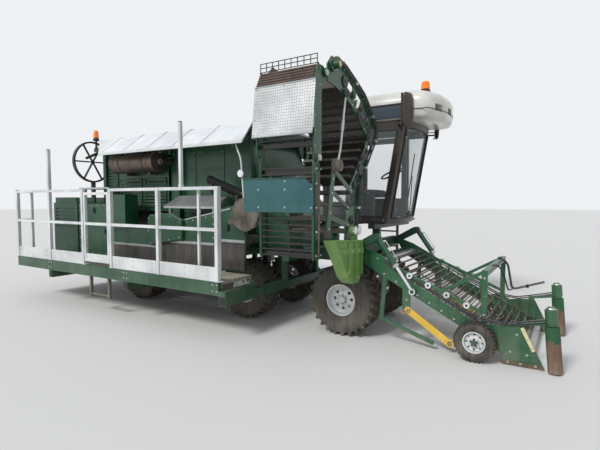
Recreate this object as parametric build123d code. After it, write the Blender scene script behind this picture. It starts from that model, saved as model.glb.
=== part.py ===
from build123d import *
import math
import os

# Tomato harvester, millimetres. +X is forward, +Y is the machine's left, +Z is up.
# The origin lies on the ground under the middle of the whole machine.

# General clearances
RUN = 0.3  # running gap round a pin or shaft
SIDE_GAP = 8.0  # gap between two plates that swing past each other

# Main rails and cross members
RAIL_Y = 450.0
RAIL_WIDTH = 80.0
RAIL_BOTTOM = 940.0
RAIL_HEIGHT = 140.0
RAIL_TOP = RAIL_BOTTOM + RAIL_HEIGHT
RAIL_REAR = -3420.0
RAIL_FRONT = 1850.0
CROSS_WIDTH = 100.0
CROSS_DROP = 20.0
BODY_HALF_WIDTH = 1110.0
WIDE_CROSS_X = (-3100.0, -1170.0, 300.0, 1140.0)
NOSE_TUBE_FRONT = 1950.0
NOSE_TUBE_TOP = 1185.0
NOSE_TUBE_HALF = 850.0

# Road wheels and axles
WHEEL_Y = 600.0
TYRE_WIDTH = 400.0
TREAD_WIDTH = 330.0
TREAD_SIDES = 40
RIM_RADIUS = 205.0
RIM_WIDTH = 340.0
DISH_RADIUS = 178.0
DISH_DEPTH = 85.0
ROAD_RADIUS = 435.0
FRONT_RADIUS = 460.0
FRONT_AXLE_X = 1760.0
MIDDLE_AXLE_X = 170.0
REAR_AXLE_X = -2200.0
AXLE_SIZE = 120.0
PEDESTAL_Y = 200.0
PEDESTAL_WIDTH = 90.0
KINGPIN_Y = 330.0
KINGPIN_RADIUS = 20.0
BOSS_RADIUS = 42.0
BOSS_HEIGHT = 130.0
FORK_THICK = 20.0

# Working platforms and railings
PLATFORM_REAR = -4225.0
PLATFORM_FRONT = 620.0
PLATFORM_OUTER = 1810.0
PLATFORM_INNER = 1160.0
DECK_TOP = 740.0
DECK_THICK = 40.0
FASCIA_BOTTOM = 570.0
FASCIA_WIDTH = 40.0
EDGE_FLANGE = 55.0
END_STRIP = 60.0
OUTRIGGER_BOTTOM = 450.0
OUTRIGGER_HEIGHT = 120.0
OUTRIGGER_WIDTH = 100.0
OUTRIGGER_X = (-3150.0, -1170.0, 680.0)
POST_SIZE = 50.0
RAIL_TUBE = 40.0
TOP_RAIL_Z = 1910.0
MID_RAIL_Z = 1380.0
TOE_TOP = 920.0
TOE_THICK = 8.0
GATE_REAR = -2200.0
GATE_FRONT = -1500.0
TALL_POST_X = -20.0
TALL_POST_TOP = 2735.0
CORNER_RETURN = 280.0
HINGE_KNUCKLE = 10.0
HINGE_PIN = 5.0
KNUCKLE_HEIGHT = 40.0
SIDE_GATE_HINGE_Z = (1000.0, 1700.0)
END_GATE_HINGE_Z = (950.0, 1760.0)
GATE_GAP = 12.0
HINGE_Y = -PLATFORM_OUTER + POST_SIZE + HINGE_KNUCKLE + 3.0
SIDE_GATE_HINGE = (GATE_FRONT - POST_SIZE / 2 - 6.0, HINGE_Y)
END_GATE_HINGE = (PLATFORM_FRONT - POST_SIZE / 2 + GATE_GAP, HINGE_Y)
TOW_EYE_X = -4165.0
TOW_EYE_RADIUS = 16.5
TOW_EYE_Z = (480.0, 560.0)
END_GATE_LENGTH = 375.0
LADDER_X = (-2100.0, -1640.0)
LADDER_FOOT = 250.0

# Body of the machine
PANEL_Y = 1120.0
PANEL_THICK = 14.0
ENGINE_X = (-2750.0, -1550.0)
ENGINE_HALF_WIDTH = 430.0
ENGINE_TOP = 2050.0
HOUSING_HALF_WIDTH = 690.0
CABINET_REAR = -4200.0
CABINET_TOP = 1690.0
CABINET_BOTTOM = 600.0
CANOPY_X = (-3200.0, 400.0)
CANOPY_EAVE_Y = 1200.0
CANOPY_EAVE_Z = 2513.0
CANOPY_TOP_Y = 800.0
CANOPY_TOP_Z = 2810.0
CANOPY_THICK = 30.0
POST_Y = 760.0
UPPER_RAIL_Z = 2700.0
UPPER_RAIL = 60.0
ENGINE_WALL_X = (-3240.0, -1455.0)
ENGINE_WALL_LOW = 1560.0
ENGINE_WALL_THICK = 12.0
MUFFLER_X = (-2590.0, -1485.0)
MUFFLER_Y = -900.0
MUFFLER_Z = 2365.0
MUFFLER_RADIUS = 162.0
HOOP_X = -3560.0
HOOP_Y = -752.0
HOOP_Z = 2460.0
HOOP_RADIUS = 385.0
HOOP_DEPTH = 60.0

# Elevator tower at the right front
TOWER_REAR = 1130.0
TOWER_FRONT = 1950.0
TOWER_PLATE = 16.0
ARM_HINGE = (-1500.0, 3130.0)
END_HINGE = (-1650.0, 2200.0)
HINGE_RADIUS = 45.0
PIN_RADIUS = 18.0
NECK_BAND = [  # outer and inner edge of the swan neck, as pairs of (y, z) points from head to foot
    ((-1480, 3230), (-1480, 3040)), ((-1380, 3338), (-1300, 3025)), ((-1078, 3290), (-1060, 2960)),
    ((-780, 3172), (-860, 2870)), ((-517, 3052), (-690, 2760)), ((-260, 2850), (-520, 2640)),
    ((-113, 2700), (-440, 2540)), ((-150, 2540), (-470, 2430)), ((-292, 2380), (-590, 2280)),
    ((-470, 2165), (-760, 2085)), ((-640, 1960), (-930, 1900)), ((-680, 1650), (-1020, 1600)),
]
NECK_WINDOW = (0.24, 0.80)
NECK_WEB = 0.13
NECK_FOOT = ((-680, 1300), (-1032, 1300))
FLIGHT_PITCH = 150.0
FLIGHT_THICK = 14.0
ROLLER_RADIUS = 42.0
ROD_SIZE = 12.0

# Pickup header, lifted about a cross pin
HEADER_HINGE = (2000.0, 1130.0)
BELT_REAR = (2180.0, 1010.0)
BELT_FRONT = (3900.0, 105.0)
HEADER_Y = 700.0
HEADER_PLATE = 20.0
REAR_RISE = 95.0
FRAME_RISE = 24.0
FRAME_DROP = 110.0
FRAME_END_X = 3780.0
BELT_ROLLER = 45.0
ROD_PITCH = 90.0
IDLER_RADIUS = 32.0
GUIDE_RAIL = ((2480.0, 925.0), (3450.0, 522.0))
LIFT_TOP = (2257.0, 1300.0)
LIFT_EYE = (2700.0, 680.0)
LIFT_Y = 790.0
BARREL_RADIUS = 36.0
ROD_RADIUS = 19.0
BARREL_LENGTH = 430.0
BARREL_BASE = 160.0
ROD_INSIDE = 150.0
EYE_RADIUS = 38.0
EYE_HOLE = 22.0
EYE_WIDTH = 36.0
LUG_PIN = 15.0
EAR_THICK = 14.0
GAUGE_X = 3400.0
GAUGE_RADIUS = 220.0
GAUGE_Y = 805.0
GAUGE_WIDTH = 150.0
GAUGE_RIM_RADIUS = 118.0
DIVIDER_X = 4157.0
DIVIDER_Y = 745.0
DIVIDER_RADIUS = 68.0
DIVIDER_LENGTH = 462.0
DIVIDER_LEAN = 5.0
DIVIDER_PIN = 14.0
FLOOR_GAP = 18.0

# Cab at the left front
CAB_REAR = 950.0
CAB_RIGHT = 220.0
CAB_LEFT = 1420.0
CAB_FLOOR = 1400.0
CAB_HEAD = 2860.0
CAB_FRONT_LOW = 1985.0
CAB_FRONT_HIGH = 2230.0
CAB_BOW = 90.0
CAB_WALL = 50.0
GLASS_THICK = 8.0
DOOR_HINGE = (1074.0, 1430.0)
DOOR_HINGE_Z = (1650.0, 2500.0)
ROOF_FRONT = 2560.0
ROOF_SHOULDER = 3110.0
ROOF_TOP = 3290.0


def block(x0, x1, y0, y1, z0, z1):
    """A box from its two corners."""
    box = Box(abs(x1 - x0), abs(y1 - y0), abs(z1 - z0))
    return Pos((x0 + x1) / 2, (y0 + y1) / 2, (z0 + z1) / 2) * box


def plate_xz(points, y0, y1):
    """An outline of (x, z) points, from y0 to y1."""
    wire = Polyline([(x, y0, z) for x, z in points], close=True)
    return extrude(make_face(wire), amount=y1 - y0, dir=(0, 1, 0))


def plate_yz(points, x0, x1):
    """An outline of (y, z) points, from x0 to x1."""
    wire = Polyline([(x0, y, z) for y, z in points], close=True)
    return extrude(make_face(wire), amount=x1 - x0, dir=(1, 0, 0))


def plate_xy(points, z0, z1):
    """An outline of (x, y) points, from z0 to z1."""
    wire = Polyline([(x, y, z0) for x, y in points], close=True)
    return extrude(make_face(wire), amount=z1 - z0, dir=(0, 0, 1))


def rod(start, end, radius):
    """A round bar between two points."""
    line = Vector(*end) - Vector(*start)
    low = (Align.CENTER, Align.CENTER, Align.MIN)
    return Plane(origin=start, z_dir=line) * Cylinder(radius, line.length, align=low)


def bar_xz(start, end, width, y0, y1):
    """A flat bar between two (x, z) points, from y0 to y1."""
    dx, dz = end[0] - start[0], end[1] - start[1]
    length = math.hypot(dx, dz)
    nx, nz = -dz / length * width / 2, dx / length * width / 2
    points = [
        (start[0] + nx, start[1] + nz), (end[0] + nx, end[1] + nz),
        (end[0] - nx, end[1] - nz), (start[0] - nx, start[1] - nz),
    ]
    return plate_xz(points, y0, y1)


def bar_yz(start, end, width, x0, x1):
    """A flat bar between two (y, z) points, from x0 to x1."""
    dy, dz = end[0] - start[0], end[1] - start[1]
    length = math.hypot(dy, dz)
    ny, nz = -dz / length * width / 2, dy / length * width / 2
    points = [
        (start[0] + ny, start[1] + nz), (end[0] + ny, end[1] + nz),
        (end[0] - ny, end[1] - nz), (start[0] - ny, start[1] - nz),
    ]
    return plate_yz(points, x0, x1)


def join(pieces):
    """One body from pieces that touch or overlap."""
    pieces = list(pieces)
    return pieces[0].fuse(*pieces[1:]) if len(pieces) > 1 else pieces[0]


def on_left(shape):
    """The same piece on the machine's left side."""
    return mirror(shape, about=Plane.XZ)


def both_sides(shape):
    return [shape, on_left(shape)]


def save(name, pieces):
    """Writes the pieces of one node, as solids that don't overlap."""
    solids = [solid for piece in pieces for solid in piece.solids()]
    export_step(Compound(children=solids), f"parts/{name}.step")


def turned(profile):
    """A ring about the Y axis from an outline of (y, radius) points."""
    wire = Polyline([(0, y, radius) for y, radius in profile], close=True)
    return revolve(make_face(wire), axis=Axis.Y)


# Running gear


def tyre(radius, width, tread, bore):
    """Flat-sided tread with bevelled shoulders, on a round bore."""
    half = width / 2
    outline = Plane(origin=(0, -half, 0), z_dir=(0, 1, 0)) * RegularPolygon(radius, TREAD_SIDES)
    body = extrude(outline, amount=width)
    shoulders = [edge for edge in body.edges() if abs((edge % 0.5).Y) < 0.5]
    body = chamfer(shoulders, length=(width - tread) / 2)
    return body - rod((0, -half - 1, 0), (0, half + 1, 0), bore)


def rim(radius, width, dish_radius, dish_depth):
    """A rim with its dish towards -Y."""
    half = width / 2
    floor = dish_depth - half
    return turned([
        (floor, 0), (floor, dish_radius), (-half, dish_radius), (-half, radius),
        (half, radius), (half, 0),
    ])


def wheel(radius, x, side):
    """Tyre and rim of one road wheel, side -1 on the right and 1 on the left."""
    rubber = tyre(radius, TYRE_WIDTH, TREAD_WIDTH, RIM_RADIUS)
    steel = rim(RIM_RADIUS - RUN, RIM_WIDTH, DISH_RADIUS, DISH_DEPTH)
    place = Pos(x, side * WHEEL_Y, radius) * Rot(0, 0, 0 if side < 0 else 180)
    return place * rubber, place * steel


def road_wheels():
    rows = [  # axle name, radius, x
        ("front", FRONT_RADIUS, FRONT_AXLE_X),
        ("middle", ROAD_RADIUS, MIDDLE_AXLE_X),
        ("rear", ROAD_RADIUS, REAR_AXLE_X),
    ]
    for name, radius, x in rows:
        for side, side_name in ((-1, "right"), (1, "left")):
            rubber, steel = wheel(radius, x, side)
            save(f"{name}_{side_name}_tyre", [rubber])
            save(f"{name}_{side_name}_rim", [steel])


def hub_face():
    """Distance from the middle plane to the inner face of a rim."""
    return WHEEL_Y - RIM_WIDTH / 2 - RUN


def fixed_axle(x, radius):
    half = AXLE_SIZE / 2
    beam = block(x - half, x + half, -hub_face() + 40, hub_face() - 40, radius - half, radius + half)
    hubs = [
        rod((x, side * (hub_face() - 60), radius), (x, side * hub_face(), radius), 75)
        for side in (-1, 1)
    ]
    return join([beam, *hubs])


def fixed_axles():
    return [fixed_axle(FRONT_AXLE_X, FRONT_RADIUS), fixed_axle(MIDDLE_AXLE_X, ROAD_RADIUS)]


def rear_axle():
    """A beam with an upright boss for the kingpin at each end."""
    half = AXLE_SIZE / 2
    x, z = REAR_AXLE_X, ROAD_RADIUS
    end = KINGPIN_Y - BOSS_RADIUS / 2
    beam = block(x - half, x + half, -end, end, z - half, z + half)
    for side in (-1, 1):
        foot = (x, side * KINGPIN_Y, z - BOSS_HEIGHT / 2)
        head = (x, side * KINGPIN_Y, z + BOSS_HEIGHT / 2)
        beam = beam + rod(foot, head, BOSS_RADIUS)
    for side in (-1, 1):
        foot = (x, side * KINGPIN_Y, z - BOSS_HEIGHT)
        head = (x, side * KINGPIN_Y, z + BOSS_HEIGHT)
        beam = beam - rod(foot, head, KINGPIN_RADIUS + RUN)
    return beam


def knuckle(side):
    """Fork plates above and below the boss, the kingpin, and the hub flange."""
    x, z = REAR_AXLE_X, ROAD_RADIUS
    reach = BOSS_HEIGHT / 2 + 5
    web0, web1 = KINGPIN_Y + BOSS_RADIUS + 10, KINGPIN_Y + BOSS_RADIUS + 26
    plates = [
        block(x - 50, x + 50, side * (KINGPIN_Y - 35), side * web1, z0, z0 + FORK_THICK)
        for z0 in (z + reach, z - reach - FORK_THICK)
    ]
    web = block(x - 50, x + 50, side * web0, side * web1, z - reach - FORK_THICK, z + reach + FORK_THICK)
    pin = rod((x, side * KINGPIN_Y, z - reach - 10), (x, side * KINGPIN_Y, z + reach + 10), KINGPIN_RADIUS)
    hub = rod((x, side * web0, z), (x, side * hub_face(), z), 75)
    return join([*plates, web, pin, hub])


# Frame


def pedestals(x, radius):
    half = PEDESTAL_WIDTH / 2
    top = RAIL_TOP - CROSS_DROP - CROSS_WIDTH
    return [
        block(x - half, x + half, y - half, y + half, radius + AXLE_SIZE / 2, top)
        for y in (-PEDESTAL_Y, PEDESTAL_Y)
    ]


def main_frame():
    inner, outer = RAIL_Y - RAIL_WIDTH / 2, RAIL_Y + RAIL_WIDTH / 2
    rail = block(RAIL_REAR, RAIL_FRONT, -outer, -inner, RAIL_BOTTOM, RAIL_TOP)
    half = CROSS_WIDTH / 2
    top = RAIL_TOP - CROSS_DROP
    pieces = both_sides(rail)
    for x in WIDE_CROSS_X:
        pieces.append(block(x - half, x + half, -BODY_HALF_WIDTH, BODY_HALF_WIDTH, top - CROSS_WIDTH, top))
    for x, radius in (
        (FRONT_AXLE_X, FRONT_RADIUS), (MIDDLE_AXLE_X, ROAD_RADIUS), (REAR_AXLE_X, ROAD_RADIUS),
    ):
        pieces.append(block(x - half, x + half, -inner, inner, top - CROSS_WIDTH, top))
        pieces += pedestals(x, radius)
    nose = block(RAIL_FRONT, NOSE_TUBE_FRONT, -NOSE_TUBE_HALF, NOSE_TUBE_HALF, RAIL_BOTTOM + 100, NOSE_TUBE_TOP)
    pieces.append(nose)
    pieces += both_sides(header_ears())
    return [join(pieces)]


def header_ears():
    """Two ears for the header's hinge and two long ears for the lift cylinder, right side."""
    x0, z0 = HEADER_HINGE
    inner = HEADER_Y - SIDE_GAP - TOWER_PLATE
    outer = HEADER_Y + HEADER_PLATE + SIDE_GAP
    ears = []
    for y in (inner, outer):
        ear = plate_xz([(NOSE_TUBE_FRONT - 5, NOSE_TUBE_TOP - 5), (NOSE_TUBE_FRONT - 5, z0 - 50),
                        (x0 + 10, z0 - 50), (x0 + 45, z0 - 20), (x0 + 45, z0 + 20), (x0 + 10, z0 + 50)],
                       -y - TOWER_PLATE, -y)
        ears.append(ear)
    px, pz = LIFT_TOP
    reach = BARREL_RADIUS + SIDE_GAP
    for y0 in (LIFT_Y - reach - EAR_THICK, LIFT_Y + reach):
        arm = plate_xz([(NOSE_TUBE_FRONT - 5, NOSE_TUBE_TOP - 100), (px + 30, pz - 35), (px + 40, pz),
                        (px + 10, pz + 40), (px - 40, pz + 35), (NOSE_TUBE_FRONT - 5, NOSE_TUBE_TOP - 5)],
                       -y0 - EAR_THICK, -y0)
        ears.append(arm)
    pin = rod((px, -LIFT_Y - reach - 7, pz), (px, -LIFT_Y + reach + 7, pz), LUG_PIN)
    ears.append(pin)
    drill = rod((x0, -HEADER_Y - 60, z0), (x0, -HEADER_Y + 60, z0), PIN_RADIUS + RUN)
    return join(ears) - drill


def outriggers():
    """Cross beams under the platforms with their brackets, and the edge channels that they carry."""
    half = OUTRIGGER_WIDTH / 2
    top = OUTRIGGER_BOTTOM + OUTRIGGER_HEIGHT
    reach = PLATFORM_OUTER - 5
    pieces = []
    for x in OUTRIGGER_X:
        beam = [block(x - half, x + half, -reach, reach, OUTRIGGER_BOTTOM, top)]
        for side in (-1, 1):
            beam.append(block(x - 40, x + 40, side * (RAIL_Y - 30), side * (RAIL_Y + 30), top, RAIL_BOTTOM))
            beam.append(block(x - 40, x + 40, side * (PLATFORM_INNER + 20), side * (PLATFORM_INNER + 80),
                              top, DECK_TOP - DECK_THICK))
        pieces.append(join(beam))
    for piece in platform_edge():
        pieces += both_sides(piece)
    return pieces


def platform_edge():
    """Edge channel of the right platform, its strip across the rear and its return at the front."""
    outer = 5 - PLATFORM_OUTER
    flange = outer + EDGE_FLANGE
    low = DECK_TOP - DECK_THICK
    channel = plate_yz([
        (outer, FASCIA_BOTTOM), (outer + FASCIA_WIDTH, FASCIA_BOTTOM), (outer + FASCIA_WIDTH, low),
        (flange, low), (flange, DECK_TOP), (outer, DECK_TOP),
    ], PLATFORM_REAR, PLATFORM_FRONT)
    strip = block(PLATFORM_REAR, PLATFORM_REAR + END_STRIP, flange, -PLATFORM_INNER, low, DECK_TOP)
    front = OUTRIGGER_X[-1] + OUTRIGGER_WIDTH / 2
    tip = block(PLATFORM_FRONT, front, outer, -PLATFORM_INNER - 80, FASCIA_BOTTOM, FASCIA_BOTTOM + 60)
    return [channel, strip, tip]


def decks():
    """Walkway plates, each laid inside its platform's edge."""
    return both_sides(block(PLATFORM_REAR + END_STRIP, PLATFORM_FRONT, 5 - PLATFORM_OUTER + EDGE_FLANGE,
                            -PLATFORM_INNER, DECK_TOP - DECK_THICK, DECK_TOP))


def fixed_knuckle(x, y, z):
    """Lower half of a gate hinge, drilled for its pin."""
    body = rod((x, y, z - KNUCKLE_HEIGHT), (x, y, z - RUN), HINGE_KNUCKLE)
    return body - rod((x, y, z - KNUCKLE_HEIGHT - 1), (x, y, z + 1), HINGE_PIN + RUN)


def moving_knuckle(x, y, z):
    """Upper half of a gate hinge with the pin that hangs in the lower half."""
    body = rod((x, y, z), (x, y, z + KNUCKLE_HEIGHT), HINGE_KNUCKLE)
    return body + rod((x, y, z - KNUCKLE_HEIGHT), (x, y, z + 1), HINGE_PIN)


def railing_hinges():
    """Fixed hinge halves of both gates, each with its leaf to the right railing's post."""
    pieces = []
    face = -PLATFORM_OUTER + POST_SIZE
    x, y = SIDE_GATE_HINGE
    for z in SIDE_GATE_HINGE_Z:
        leaf = block(x + HINGE_PIN + 1, x + 30, face, y + 5, z - KNUCKLE_HEIGHT, z - 2)
        pieces.append(join([fixed_knuckle(x, y, z), leaf]))
    x, y = END_GATE_HINGE
    for z in END_GATE_HINGE_Z:
        leaf = block(x - 8, x + 8, face, y - HINGE_PIN - 1, z - KNUCKLE_HEIGHT, z - 2)
        pieces.append(join([fixed_knuckle(x, y, z), leaf]))
    return pieces


def railing():
    """Railing of the right platform, tube by tube, with a gap for its side gate."""
    y0, y1 = -PLATFORM_OUTER, -PLATFORM_OUTER + POST_SIZE
    yc = (y0 + y1) / 2
    half = POST_SIZE / 2
    tube = RAIL_TUBE / 2
    posts = [  # x, top
        (PLATFORM_REAR + half, TOP_RAIL_Z), (-3150.0, 2570.0), (GATE_REAR, TOP_RAIL_Z),
        (GATE_FRONT, TOP_RAIL_Z), (-470.0, TOP_RAIL_Z), (PLATFORM_FRONT - half, TOP_RAIL_Z),
    ]
    pieces = [block(x - half, x + half, y0, y1, DECK_TOP, top) for x, top in posts]
    for (rear, _), (front, _) in zip(posts, posts[1:]):
        x0, x1 = rear + half, front - half
        if rear == GATE_REAR:
            continue
        for z in (TOP_RAIL_Z - tube, MID_RAIL_Z):
            pieces.append(block(x0, x1, yc - tube, yc + tube, z - tube, z + tube))
        pieces.append(block(x0, x1, y0 + 15, y0 + 15 + TOE_THICK, DECK_TOP, TOE_TOP))
    pieces.append(block(TALL_POST_X - tube, TALL_POST_X + tube, yc - tube, yc + tube, TOP_RAIL_Z, TALL_POST_TOP))
    x, end = PLATFORM_REAR + half, y0 + CORNER_RETURN
    for z in (TOP_RAIL_Z - tube, MID_RAIL_Z, DECK_TOP + 100):
        pieces.append(block(x - tube, x + tube, y1, end - RAIL_TUBE, z - tube, z + tube))
    pieces.append(block(x - tube, x + tube, end - RAIL_TUBE, end, DECK_TOP, TOP_RAIL_Z))
    return pieces


def side_gate():
    """Gate of the right platform, hinged on its front post."""
    y0 = -PLATFORM_OUTER
    yc = y0 + POST_SIZE / 2
    tube = RAIL_TUBE / 2
    x0 = GATE_REAR + POST_SIZE / 2 + GATE_GAP
    x1 = GATE_FRONT - POST_SIZE / 2 - GATE_GAP
    low, high = DECK_TOP + 60, TOP_RAIL_Z - RAIL_TUBE - 10
    pieces = [
        block(x0, x1, yc - tube, yc + tube, high - RAIL_TUBE, high),
        block(x0, x1, yc - tube, yc + tube, MID_RAIL_Z - tube, MID_RAIL_Z + tube),
        block(x0, x1, yc - tube, yc + tube, low, low + RAIL_TUBE),
        block(x0, x0 + RAIL_TUBE, yc - tube, yc + tube, low, high),
        block(x1 - RAIL_TUBE, x1, yc - tube, yc + tube, low, high),
        block(x0, x1, y0 + 15, y0 + 15 + TOE_THICK, low, TOE_TOP),
    ]
    hx, hy = SIDE_GATE_HINGE
    for z in SIDE_GATE_HINGE_Z:
        leaf = block(hx - 30, hx, yc + tube, hy + 5, z, z + KNUCKLE_HEIGHT)
        pieces += [moving_knuckle(hx, hy, z), leaf]
    return [join(pieces)]


def end_gate():
    """Short gate hinged on the front corner post, folded back inside the railing."""
    y0 = -PLATFORM_OUTER + POST_SIZE + GATE_GAP
    x1 = PLATFORM_FRONT - POST_SIZE / 2
    x0 = x1 - END_GATE_LENGTH
    tube = RAIL_TUBE * 0.8
    pieces = [
        block(x0, x1, y0, y0 + tube, z, z + tube)
        for z in (TOP_RAIL_Z - tube, MID_RAIL_Z - tube / 2, DECK_TOP + 100)
    ]
    pieces += [
        block(x, x + tube, y0, y0 + tube, DECK_TOP + 100, TOP_RAIL_Z) for x in (x0, x1 - tube)
    ]
    hx, hy = END_GATE_HINGE
    for z in END_GATE_HINGE_Z:
        leaf = block(x1 - 5, hx, y0, hy + HINGE_KNUCKLE, z, z + KNUCKLE_HEIGHT)
        pieces += [moving_knuckle(hx, hy, z), leaf]
    return [join(pieces)]


def ladder(x0, x1, y, foot, top, rungs):
    stile = 36
    pieces = [block(x - stile / 2, x + stile / 2, y, y + 40, foot, top) for x in (x0, x1)]
    for i in range(rungs):
        z = foot + 30 + i * (top - foot - 60) / max(rungs - 1, 1) * 0.8
        pieces.append(block(x0, x1, y, y + 40, z, z + 25))
    return join(pieces)


def ladders():
    right = ladder(LADDER_X[0], LADDER_X[1], -PLATFORM_OUTER + 50, LADDER_FOOT, DECK_TOP - DECK_THICK, 2)
    left = on_left(right)
    landing = block(1000, 1900, CAB_LEFT + 20, PLATFORM_OUTER - 10, CAB_FLOOR, CAB_FLOOR + 30)
    cab_steps = ladder(1150, 1600, PLATFORM_OUTER - 60, 350, CAB_FLOOR, 4)
    return [right, left, join([landing, cab_steps])]


# Body


def side_panels():
    """Outer cladding in panels that meet edge to edge, the belt guard, the engine walls and a tank."""
    y0 = -PANEL_Y - PANEL_THICK
    rows = [  # outline of one panel as (x, z) points
        [(-3400, 760), (-2420, 760), (-2420, 1680), (-3400, 1680)],
        [(-2418, 760), (-1192, 760), (-1192, 1280), (-2418, 1280)],
        [(-1190, 760), (-62, 760), (-62, 1560), (-680, 1440), (-1190, 1550)],
        [(-60, 760), (500, 760), (510, 1200), (335, 1675), (-60, 1600)],
    ]
    panels = [plate_xz(points, y0, -PANEL_Y) for points in rows]
    posts = [block(x - 25, x + 25, -PANEL_Y, -PANEL_Y + 10, 960, 1270) for x in WIDE_CROSS_X[:3]]
    right = [join([panels[0], posts[0]]), panels[1], join([panels[2], posts[1]]), join([panels[3], posts[2]]),
             belt_guard(), engine_wall()]
    return right + [on_left(piece) for piece in right] + [side_box()]


def belt_guard():
    """Bulged guard over the drive belt, on the outside of the panels."""
    outline = [(-1440, 1420), (-1400, 1510), (-1175, 1530), (-904, 1545), (-669, 1445), (-676, 1145),
               (-1376, 1031), (-1462, 1250)]
    face = -PANEL_Y - PANEL_THICK
    guard = plate_xz(outline, face - 60, face)
    edges = [edge for edge in guard.edges() if abs((edge % 0.5).Y) < 0.5 and edge.center().Y < face - 50]
    return chamfer(edges, length=18)


def engine_wall():
    """Wall beside the engine on the inner face of the canopy's posts."""
    y = -POST_Y + UPPER_RAIL / 2
    return block(*ENGINE_WALL_X, y, y + ENGINE_WALL_THICK, ENGINE_WALL_LOW, UPPER_RAIL_Z - UPPER_RAIL)


def upper_frame():
    """Posts, rails and braces that carry the canopy, and the stand of the cab."""
    half = UPPER_RAIL / 2
    low = UPPER_RAIL_Z - UPPER_RAIL
    right = [block(CANOPY_X[0] - 220, 330, -POST_Y - half, -POST_Y + half, low, UPPER_RAIL_Z)]
    cross = []
    for x in WIDE_CROSS_X[:3]:
        post = block(x - half, x + half, -POST_Y - half, -POST_Y + half, RAIL_TOP - CROSS_DROP, low)
        rest = block(x - 20, x + 20, -POST_Y - 25, -POST_Y + 25, UPPER_RAIL_Z, canopy_under(POST_Y + 25))
        brace = bar_yz((-POST_Y, UPPER_RAIL_Z - half), (-CANOPY_EAVE_Y + 50, CANOPY_EAVE_Z - 33), 40, x - 20, x + 20)
        brace = brace - block(x - half, x + half, -POST_Y - half, -POST_Y + half, low - 100, UPPER_RAIL_Z + 20)
        right += [post, rest, brace]
        cross.append(block(x - half, x + half, half - POST_Y, POST_Y - half, low, UPPER_RAIL_Z))
    return right + [on_left(piece) for piece in right] + cross + cab_stand()


def cab_stand():
    """Two beams under the cab and its landing, each on a short post."""
    top = CAB_FLOOR - 80
    pieces = []
    for x in (1050, 1750):
        pieces.append(block(x - 50, x + 50, RAIL_Y - 40, RAIL_Y + 40, RAIL_TOP, top))
        pieces.append(block(x - 50, x + 50, CAB_RIGHT + 10, PLATFORM_OUTER - 20, top, CAB_FLOOR))
    return pieces


def canopy_under(y):
    """Height of the canopy's underside at a distance y from the middle."""
    return CANOPY_TOP_Z + 40 * (1 - y / CANOPY_TOP_Y)


def canopy():
    t = CANOPY_THICK
    under = [
        (-CANOPY_EAVE_Y, CANOPY_EAVE_Z), (-CANOPY_TOP_Y, CANOPY_TOP_Z), (0, CANOPY_TOP_Z + 40),
        (CANOPY_TOP_Y, CANOPY_TOP_Z), (CANOPY_EAVE_Y, CANOPY_EAVE_Z),
    ]
    over = [(y, z + t) for y, z in reversed(under)]
    sheet = plate_yz(under + over, CANOPY_X[0], CANOPY_X[1] + 110)
    for side in (-1, 1):
        rear = [(CANOPY_X[0] - 10, side * CANOPY_TOP_Y), (-2660, side * CANOPY_EAVE_Y),
                (-2660, side * 1300), (CANOPY_X[0] - 10, side * 1300)]
        front = [(CANOPY_X[1] + 200, 0), (CANOPY_X[1] - 40, 0), (CANOPY_X[1] - 40, side * CANOPY_TOP_Y),
                 (CANOPY_X[1] + 110, side * CANOPY_EAVE_Y), (CANOPY_X[1] + 200, side * 1300)]
        sheet = sheet - plate_xy(rear, 2400, 2900) - plate_xy(front, 2400, 2900)
    return [sheet]


def rear_cabinet():
    """Closed rear housing with louvred upper panels and slats on top."""
    box = block(CABINET_REAR, RAIL_REAR, -1150, 1150, CABINET_BOTTOM, CABINET_TOP)
    for i in range(6):
        z = 1240 + i * 65
        for side in (-1, 1):
            box = box - block(-4120, -3500, side * 1135, side * 1160, z, z + 28)
    slats = [
        block(CABINET_REAR + 40, RAIL_REAR - 40, y - 15, y + 15, CABINET_TOP, CABINET_TOP + 100)
        for y in (-1120, -760, -380, 0, 380, 760, 1120)
    ]
    return [join([box, *slats, tow_eye()])]


def tow_eye():
    """Fork for a tow pin under the cabinet's rear edge."""
    low, high = TOW_EYE_Z
    x, thick = TOW_EYE_X, 20
    fork = join([
        block(x - 40, x + 65, -40, 40, low, low + thick),
        block(x - 40, x + 65, -40, 40, high - thick, high),
        block(x + 45, x + 65, -40, 40, low, CABINET_BOTTOM),
    ])
    return fork - rod((x, 0, low - 1), (x, 0, high + 1), TOW_EYE_RADIUS)


def separator_housing():
    """Closed housing of the shaker and fans between the sorting belts."""
    outline = [
        (-1450, RAIL_TOP), (900, RAIL_TOP), (900, 1500), (420, 1960), (200, 2630), (-1450, 2630),
    ]
    return [plate_xz(outline, -HOUSING_HALF_WIDTH, HOUSING_HALF_WIDTH)]


def engine_block():
    """Engine as a plain block, and the radiator pack behind it on the main rails."""
    engine = block(ENGINE_X[0], ENGINE_X[1], -ENGINE_HALF_WIDTH, ENGINE_HALF_WIDTH, RAIL_TOP, ENGINE_TOP)
    return [engine, block(-3060, -2960, -700, 700, RAIL_TOP, 2600)]


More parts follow.
